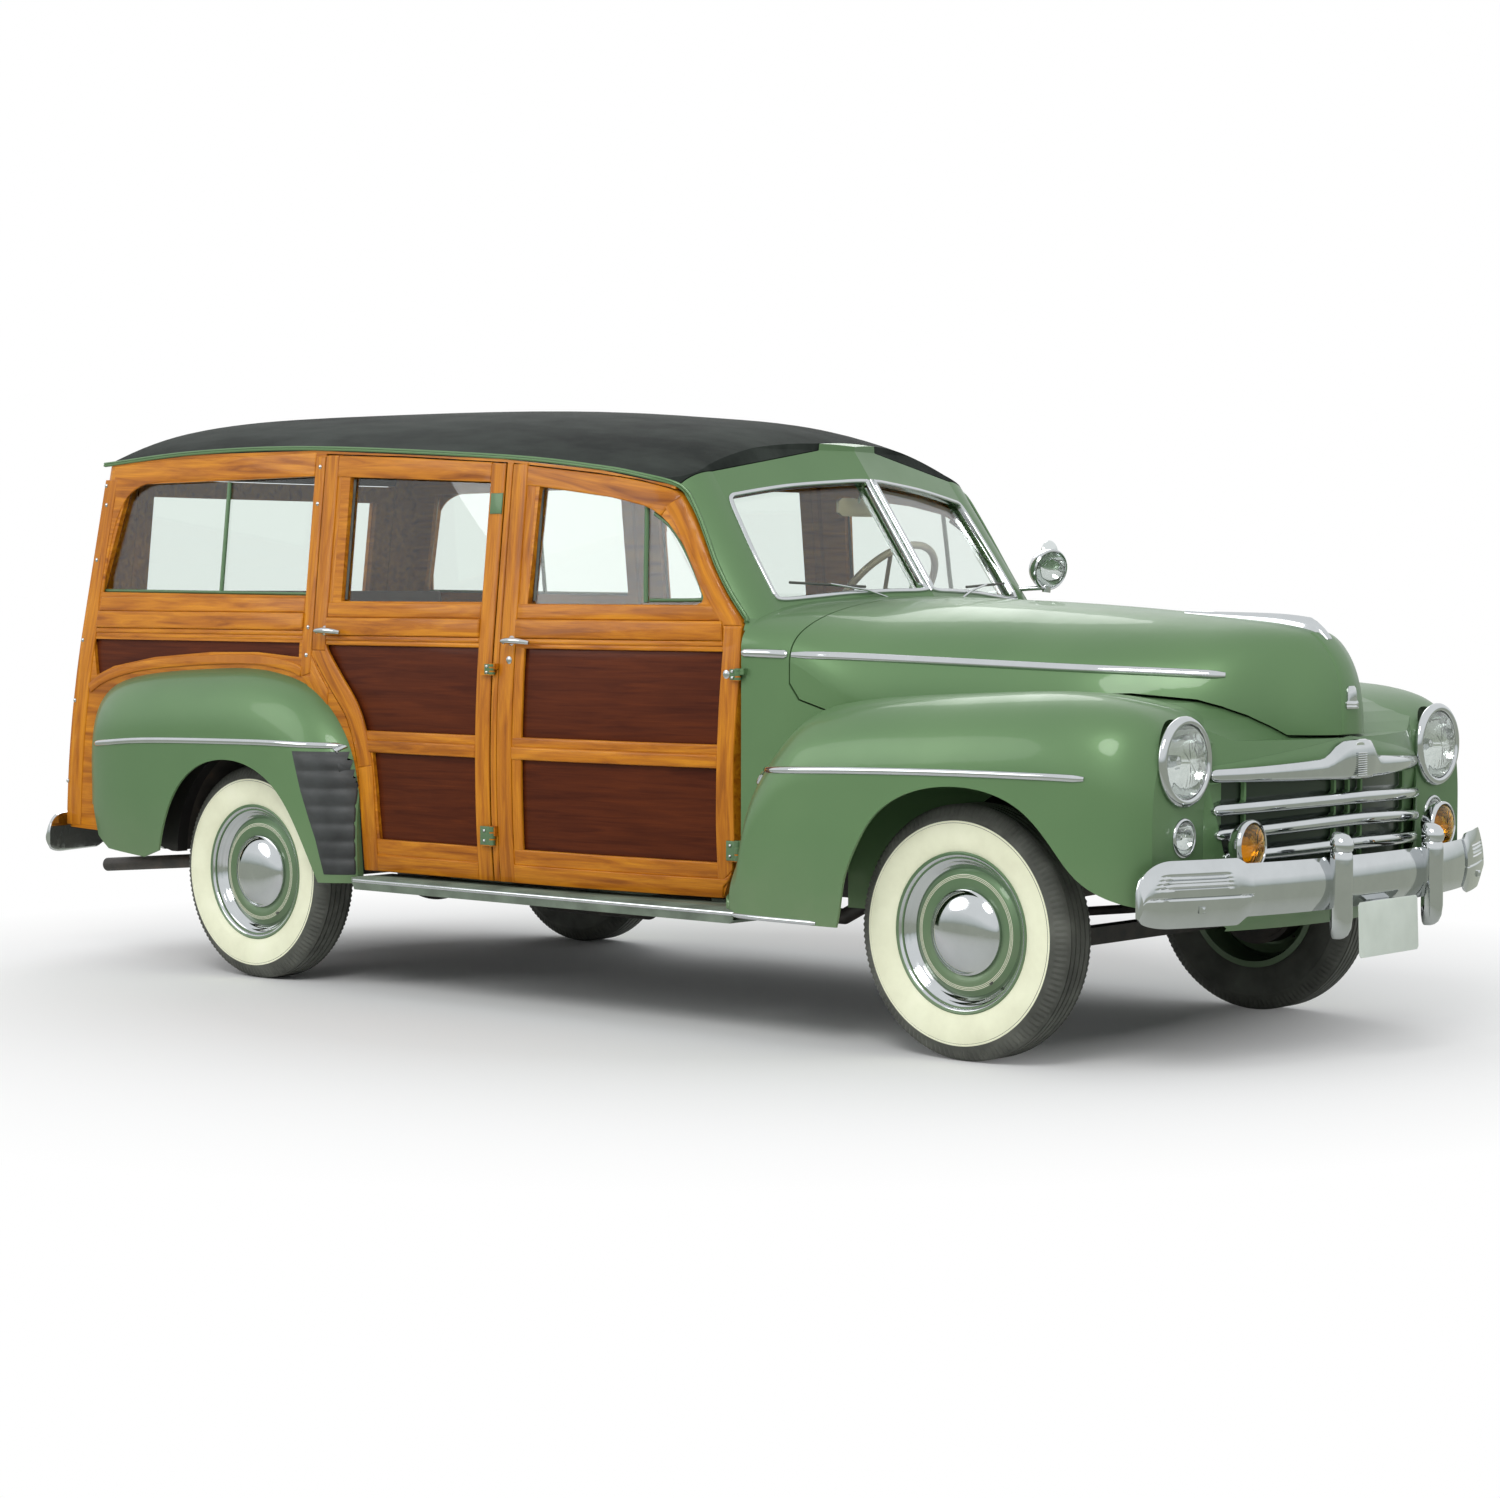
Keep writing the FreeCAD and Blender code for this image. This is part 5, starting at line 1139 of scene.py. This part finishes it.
def on_screen(points, lift=0, steps=10):
    """Places on the windscreen frame over (y, z) points, and the way out from it."""
    path, normals = [], []
    for p in smooth_path([(y, 0, z) for y, z in points], steps, closed=True):
        y, z = p.x, p.z
        along_y = (screen_face(y + 4, z) - screen_face(y - 4, z)) / 8
        along_z = (screen_face(y, z + 4) - screen_face(y, z - 4)) / 8
        out = Vector((1, -along_y, -along_z)).normalized()
        normals.append(out)
        path.append(P(screen_face(y, z), y, z) + out * lift / 1000)
    return path, normals


POST_BOLTS = [(-2301, 1573), (-2331, 1383), (-2374, 1105), (-2403, 895), (-2446, 613), (-2310, 1640),
              (-1206, 1680), (-1206, 1560), (-1206, 1160), (-1206, 1070)]
WINDOW_BARS = [
    ("vent_divider", "front_door_", [(213, 1534), (219, 1450), (227, 1330), (235, 1246)], 8, 18, "wheel_paint"),
    ("vent_edge", "front_door_", [(243, 1510), (300, 1474), (352, 1418), (400, 1346), (436, 1280), (440, 1262),
                                  (428, 1254), (250, 1252)], 6, 18, "wheel_paint"),
    ("window_channel", "front_door_", [(-206, 1248), (-206, 1586)], 6, 20, "rubber"),
    ("rear_channel_a", "rear_door_", [(-1056, 1250), (-1056, 1636)], 6, 20, "rubber"),
    ("rear_channel_b", "rear_door_", [(-406, 1250), (-406, 1608)], 6, 20, "rubber"),
    ("quarter_divider", "chassis", [(-1674, 1268), (-1674, 1640)], 8, 16, "wheel_paint"),
    ("quarter_sill", "chassis", [(-2286, 1277), (-1240, 1268)], 6, 14, "wheel_paint")]


def window_bar(name, body, side, points, radius, inset, mat):
    """A round bar over a side view's (x, z) points, set in from the body's side."""
    path = [side_place(side, p.x, p.z, -inset) for p in smooth_path([(x, 0, z) for x, z in points])]
    put(name, tube(path, radius), mat, body)


def hinge(name, body, side, x, z, height, leaf):
    """A painted hinge: three knuckles on a pin, and a leaf with two screws."""
    y = side * (WIDEST + 6 - drawn(x))
    knuckles = []
    for k in range(3):
        z0 = z + height * k / 3
        barrel = [(1, 0.1), (1, 8), (3, 9.8), (height / 3 - 3, 9.8), (height / 3 - 1, 8), (height / 3 - 1, 0.1)]
        knuckles.append(lathe(barrel, P(x, y, z0), (0, 0, 1), 20))
    put(name + "_pin", join(*knuckles), "wheel_paint")
    plate = outline_mesh(rect(min(0, leaf), max(0, leaf), 2, height - 2), 6, 2)
    for v in plate.verts:
        u, w, t = v.co
        v.co = P(x + u, y + side * (t + 1), z + w)
    put(name + "_leaf", plate, "wheel_paint", body)
    for k, w in enumerate((0.25, 0.75)):
        bolt(f"{name}_screw_{k}", body, P(x + leaf * 0.6, y + side * 4.5, z + height * w), (0, side, 0), 5)


def door_handle(name, body, side, x, z):
    """A lever handle on a round boss."""
    place = side_place(side, x, z)
    boss = [(-8, 17), (2, 17), (6, 14), (9, 9), (28, 8), (32, 9), (38, 9), (41, 6), (42, 0.1)]
    lever = tube([place + Vector((u, side * v, w)) / 1000 for u, v, w in
                  ((-12, 33, 0), (0, 35, 1), (30, 37, 2), (60, 36, 1), (86, 31, -2), (98, 27, -4))],
                 lambda t: 6.5 + 3.5 * math.sin(math.pi * min(1, t * 1.15)) ** 0.7, 14)
    put(name, join(lathe(boss, place, (0, side, 0), 32), lever), body=body)


def door_line(side):
    """The painted rail above the doors and down the windscreen pillar."""
    top = [(-2330, 1713), (-1842, 1742), (-1238, 1741), (-366, 1692), (33, 1651), (200, 1624), (302, 1600),
           (345, 1571), (374, 1532), (404, 1486), (440, 1426), (483, 1353), (538, 1273), (604, 1190)]
    path = smooth_path([(x, 0, z) for x, z in top], 8)
    return [side_place(side, p.x, p.z, 1) for p in path], [Vector((0, side, 0.25)) for p in path]


REAR_ARCH_FRONT = [(-1152, 770), (-1116, 640), (-1059, 482), (-1032, 372)]


def gravel_guard(side, tag):
    """The black ribbed rubber guard on the front of the rear fender."""
    surface = Surface("rear_fender_" + tag)
    rows = []
    bands = 7
    for step in range(bands * 8 + 1):
        z = 372 + (764 - 372) * step / (bands * 8)
        inner = next(x0 + (x1 - x0) * (z - z0) / (z1 - z0) for (x0, z0), (x1, z1) in
                     zip(REAR_ARCH_FRONT, REAR_ARCH_FRONT[1:]) if z1 <= z <= z0)
        phase = step % 8 / 8
        rib = 5.5 * math.sin(math.pi * min(1, phase / 0.8)) ** 0.5 if phase < 0.8 else 0
        row = []
        for k in range(15):
            x = inner + (-951 - inner) * math.sin(math.pi / 2 * k / 14)
            place, out = surface.beside(side, x, z)
            edge = min(1, k / 1.5)
            row.append(place + out * (1.5 + rib * edge) / 1000)
        rows.append(row + [row[-1] + Vector((0, -side * 0.006, 0)), row[0] - Vector((0, side * 0.006, 0))])
    put("gravel_guard_" + tag, closed_grid(rows), "guard", angle=60)


for side, tag in ((1, "left"), (-1, "right")):
    surfaces = {"cowl": Surface("cowl_body"), "hood": HOOD, "fender": Surface("front_fender_" + tag),
                "rear": Surface("rear_fender_" + tag)}
    for name, body, width, height, points in MOULDINGS:
        moulding(f"{name}_{tag}", body, surfaces[name.split("_")[0]], side, points, width, height)
    gravel_guard(side, tag)
    path, outs = door_line(side)
    section = [(-7, -4), (-7, 4), (-4, 6), (-1.5, 6), (-0.5, 3), (0.5, 3), (1.5, 6), (4, 6), (7, 4), (7, -4)]
    put("drip_rail_" + tag, sweep(path, section, outs), "paint")
    door = "front_door_" + tag
    hinge("front_hinge_low_" + tag, door, side, 606, 496, 62, -42)
    hinge("front_hinge_mid_" + tag, door, side, 606, 1021, 36, -30)
    hinge("rear_hinge_mid_" + tag, "rear_door_" + tag, side, -334.5, 1021, 36, -30)
    hinge("rear_hinge_low_" + tag, "rear_door_" + tag, side, -334.5, 496, 62, -50)
    leaf = outline_mesh(rect(-404, -352, 1516, 1580), 5, 2)
    for v in leaf.verts:
        x, z, t = v.co
        v.co = side_place(side, x, z, 5 + t)
    put("rear_hinge_high_" + tag, leaf, "wheel_paint", "rear_door_" + tag)
    door_handle("front_handle_" + tag, door, side, -272, 1126)
    door_handle("rear_handle_" + tag, "rear_door_" + tag, side, -1126, 1149)
    bolt("front_lock_" + tag, door, side_place(side, -275, 1068, 4), (0, side, 0), 12)
    bolt("door_bolt_" + tag, door, side_place(side, 557, 1039, 4), (0, side, 0), 13)
    for k, (x, z) in enumerate(POST_BOLTS):
        bolt(f"post_bolt_{tag}_{k}", "chassis", side_place(side, x, z, 3), (0, side, 0))
    for name, body, points, radius, inset, mat in WINDOW_BARS:
        body += tag if body.endswith("_") else ""
        window_bar(f"{name}_{tag}", body, side, points, radius, inset, mat)
    strip = sweep([P(x, side * 901, 362) for x in range(-886, 738, 60)], half_round(12, 3, -3),
                  [Vector((0, side, 0))] * 28)
    put("board_edge_" + tag, strip)
    for k in range(9):
        y = 836 + k * 7
        rib = sweep([P(x, side * y, 371.5) for x in range(-880, 731, 115)], half_round(4, 3, -1),
                    [Vector((0, 0, 1))] * 15)
        put(f"board_rib_{tag}_{k}", rib, "board")
    pane = [(22, 1286), (160, 1281), (300, 1276), (450, 1264), (570, 1256), (590, 1268), (591, 1300), (588, 1380),
            (579, 1470), (569, 1540), (556, 1562), (520, 1570), (400, 1588), (300, 1600), (160, 1611), (24, 1618),
            (20, 1600), (20, 1450), (20, 1310)]
    path, outs = on_screen([(side * y, z) for y, z in pane], 1, 5)
    surround = sweep(path, half_round(15, 6, -12), smoothed(outs), closed_path=True)
    put("screen_trim_" + tag, surround)
    pivot = P(screen_face(side * 150, 1262) + 8, side * 150, 1252)
    arm = tube([pivot, P(screen_face(side * 260, 1290) + 22, side * 260, 1284),
                P(screen_face(side * 385, 1300) + 18, side * 385, 1302)], 3.2, 8)
    blade = tube([P(screen_face(side * (250 + 28 * k), 1296) + 9, side * (250 + 28 * k), 1294 + 1.2 * k)
                  for k in range(11)], 4, 8)
    put("wiper_arm_" + tag, arm)
    put("wiper_blade_" + tag, blade, "rubber")
    knob = [(-14, 13), (-2, 13), (4, 10), (9, 6), (10, 0.1)]
    put("wiper_pivot_" + tag, lathe(knob, pivot, (0.6, 0, 1), 24))

centre_bar = sweep([P(screen_face(0, z), 0, z) for z in range(1282, 1625, 17)], half_round(13, 7, -10),
                   [Vector((0.8, 0, 0.55))] * 21)
put("screen_divider", centre_bar)


# Hood ornament, nose band and badge

spear = []
for step in range(25):
    x = 1640 + (2112 - 1640) * step / 24
    place, out = HOOD.above(x, 0)
    t = step / 24
    height, width = 8 + 30 * t ** 1.3, 7 + 9 * t
    if step >= 22:
        height *= 1 - 0.2 * (step - 21)
    row = [place + Vector((0, y * width, h * height)) / 1000 for y, h in
           ((-1, -0.1), (-0.9, 0.35), (-0.55, 0.8), (0, 1), (0.55, 0.8), (0.9, 0.35), (1, -0.1))]
    spear.append(row)
put("hood_ornament", closed_grid(spear), body="hood", angle=50)
band = []
for z in range(892, 1178, 11):
    row = []
    for y in (-47, -45, -42, -38, -20, 0, 20, 38, 42, 45, 47):
        place, out = HOOD.ahead(y, z)
        rise = 4.0 * smoothstep((47 - abs(y)) / 7) - 0.5
        row.append(place + out * rise / 1000)
    band.append(row)
put("nose_band", grid(band), "paint", "hood", angle=60)
badge = []
for z, w, d in ((960, 30, 6), (965, 31, 9), (970, 30, 6), (974, 31, 9), (979, 30, 6), (983, 24, 7), (1000, 23, 9),
                (1016, 20, 9), (1022, 14, 7)):
    row = []
    for y in (-1, -0.6, 0, 0.6, 1):
        place, out = HOOD.ahead(y * w, z)
        row.append(place + out * (3.4 + d * (1 - 0.5 * y * y)) / 1000)
    badge.append(row + [row[-1] - Vector((0.012, 0, 0)), row[0] - Vector((0.012, 0, 0))])
put("nose_badge", closed_grid(badge), body="hood", angle=50)


# Mirrors and the spot lamp on the left pillar

spot = P(628, 745, 1352)
axis = Vector((0.93, -0.28, -0.18))
can = [(-62, 0.1), (-60, 18), (-50, 40), (-34, 56), (-16, 64), (0, 67), (8, 67), (13, 63), (11, 59), (4, 58)]
put("spot_lamp", lathe(can, spot, axis, 64))
put("spot_lens", lathe(dome(6, 12, 58, 8, 4), spot, axis, 64), "lens")
put("spot_reflector",
    lathe(thick([(4, 58), (-14, 50), (-34, 30), (-44, 0.1)], 2), spot, axis, 48, closed=True), "mirror")
mast = tube([P(545, 690, 1288), P(575, 712, 1290), P(604, 735, 1292), P(617, 744, 1300)], 8, 14)
put("spot_bracket", join(mast, tube([P(617, 744, 1278), P(619, 745, 1296)], 14, 18)))
glass_back = [(-8, 0.1), (-7, 20), (-3, 34), (2, 38), (5, 38), (5, 34), (3, 33), (3, 0.1)]
put("round_mirror", lathe(glass_back, P(598, 792, 1408), (-1, 0.1, 0), 40), "mirror")
put("round_mirror_arm", tube([P(628, 757, 1400), P(614, 775, 1403), P(602, 790, 1406)], 4, 10))
inside = closed_grid([[P(430 + 8 * s, 95 * a * s2, 1537 + 28 * b * s2) for a, b in
                       ((-1, -0.6), (-0.8, -1), (0.8, -1), (1, -0.6), (1, 0.6), (0.8, 1), (-0.8, 1), (-1, 0.6))]
                      for s, s2 in ((-1, 0.94), (-0.6, 1), (0.6, 1), (1, 0.8))])
put("cabin_mirror", inside, "cream")
put("cabin_mirror_stem", tube([P(434, 0, 1552), P(448, 0, 1585), P(452, 0, 1612)], 5, 10))


# Cushions: crowned forms with sewn channels

CUSHION_ACROSS, CUSHION_UP = 46, 18     # cells of a cushion's face


def cushion(corners, depth, crown, pleats):
    """A padded face over four corners, with a rounded edge, sewn channels and a closed back."""
    a, b, c, d = (Vector(p) for p in corners)
    out = (b - a).cross(d - a).normalized()
    front, back = [], []
    for j in range(CUSHION_UP + 1):
        v = 0.5 - 0.5 * math.cos(math.pi * j / CUSHION_UP)
        row_f, row_b = [], []
        for i in range(CUSHION_ACROSS + 1):
            u = i / CUSHION_ACROSS
            place = a.lerp(b, u).lerp(d.lerp(c, u), v)
            edge = (1 - abs(2 * u - 1) ** 14) ** 0.5 * (1 - abs(2 * v - 1) ** 5) ** 0.5
            seam = abs(math.sin(math.pi * u * pleats)) ** 0.45
            lift = depth * (0.30 + 0.70 * edge) + crown * edge * (0.45 + 0.55 * seam) - crown
            pull = 0.012 * (1 - edge)
            centre = (a + b + c + d) / 4
            row_f.append(place.lerp(centre, pull) + out * lift)
            row_b.append(place.lerp(centre, 0.01 + pull))
        front.append(row_f)
        back.append(row_b)
    bm = bmesh.new()
    fv = [[bm.verts.new(p / 1000 + P(0, 0, 0)) for p in row] for row in front]
    bv = [[bm.verts.new(p / 1000 + P(0, 0, 0)) for p in row] for row in back]
    for rows in (fv, bv):
        for r0, r1 in zip(rows, rows[1:]):
            for k in range(CUSHION_ACROSS):
                bm.faces.new((r0[k], r0[k + 1], r1[k + 1], r1[k]))
    rim_f = fv[0] + [r[-1] for r in fv[1:]] + fv[-1][-2::-1] + [r[0] for r in fv[-2:0:-1]]
    rim_b = bv[0] + [r[-1] for r in bv[1:]] + bv[-1][-2::-1] + [r[0] for r in bv[-2:0:-1]]
    for k in range(len(rim_f)):
        j = (k + 1) % len(rim_f)
        bm.faces.new((rim_f[k], rim_f[j], rim_b[j], rim_b[k]))
    return bm


def bench(name, x_front, x_back, z_low, z_seat, z_top, y0, y1, node=()):
    """A bench seat: a base, a crowned cushion and a back with sewn channels."""
    base = closed_grid([[P(x, y, z) for x, y in ((x_back + 44, y0 + 34), (x_front - 44, y0 + 34),
                                                 (x_front - 44, y1 - 34), (x_back + 44, y1 - 34))]
                        for z in (z_low + 1, z_low + 30, z_seat - 152)])
    put(name + "_base", base, "leather", replaces=node)
    pleats = round((y1 - y0) / 92)
    seat_pad = cushion([(x_back + 4, y0 + 3, z_seat - 146), (x_front + 4, y0 + 3, z_seat - 146),
                        (x_front + 4, y1 - 3, z_seat - 146), (x_back + 4, y1 - 3, z_seat - 146)], 128, 22, 1)
    piece = put(name + "_cushion", seat_pad, "leather", angle=70)
    back_pad = cushion([(x_back - 122, y1 - 3, z_seat - 140), (x_back - 122, y0 + 3, z_seat - 140),
                        (x_back - 196, y0 + 3, z_top - 8), (x_back - 196, y1 - 3, z_top - 8)], 96, 18, pleats)
    piece = put(name + "_back", back_pad, "leather", angle=70)


bench("front_seat", 120, -330, 470, 800, 1230, -690, 690, ("front_seat",))
bench("middle_seat", -560, -980, 470, 800, 1210, -530, 690, ("rear_seats",))
bench("third_seat", -1420, -1840, 510, 910, 1290, -600, 600)


# Tail: frames of the two gates

def tail_face(y, z):
    """Station of the body's bowed tail."""
    return rear_line(z) - 50 * (1 - min(1, abs(y) / 740) ** 2)


def tail_member(name, body, outline, t0=-6, t1=3, angle=0.0, mat="wood"):
    """A wooden member on the tail, over a rear-view outline of (y, z) points."""
    place = lambda y, z, out: P(tail_face(y, z) - out, y, z)
    slab(name, body, outline, t0, t1, place, [(ALONG, 60), (UP, 60)], angle, mat, 3.0)


tail_member("tailgate_top", "tailgate", rect(-602, 602, 1078, 1160), t1=4)
tail_member("tailgate_bottom", "tailgate", rect(-602, 602, 660, 734), t1=4)
for name, y0, y1 in (("left", 536, 602), ("right", -602, -536), ("middle", -30, 30)):
    tail_member("tailgate_post_" + name, "tailgate", rect(y0, y1, 734, 1078), angle=90)
for name, y0, y1 in (("left", 26, 540), ("right", -540, -26)):
    tail_member("tailgate_panel_" + name, "tailgate", rect(y0, y1, 728, 1084), **PANEL)
tail_member("liftgate_bottom", "liftgate", rect(-602, 602, 1186, 1254), t1=4)
tail_member("liftgate_top", "liftgate", rect(-602, 602, 1610, 1652), t1=4)
for name, y0, y1 in (("left", 534, 602), ("right", -602, -534)):
    tail_member("liftgate_post_" + name, "liftgate", rect(y0, y1, 1254, 1610), angle=90)
for side, tag in ((1, "left"), (-1, "right")):
    tail_member("tail_post_" + tag, "chassis", rect(*sorted((side * 616, side * 690)), 650, 1690), angle=90)
    lens = [(0, 0.1), (-6, 22), (-3, 34), (4, 40), (10, 42), (10, 36), (22, 33), (30, 20), (33, 0.1)]
    y = side * 726
    put("tail_lamp_" + tag, lathe(lens, P(tail_face(y, 980) + 24, y, 980), (-1, 0, 0), 48), "tail_red")
grip = ((-70, 4), (-60, 26), (0, 32), (60, 26), (70, 4))
handle = tube([P(tail_face(y, 1128) - out, y, 1128) for y, out in grip], 7, 12)
put("tailgate_handle", handle, body="tailgate")
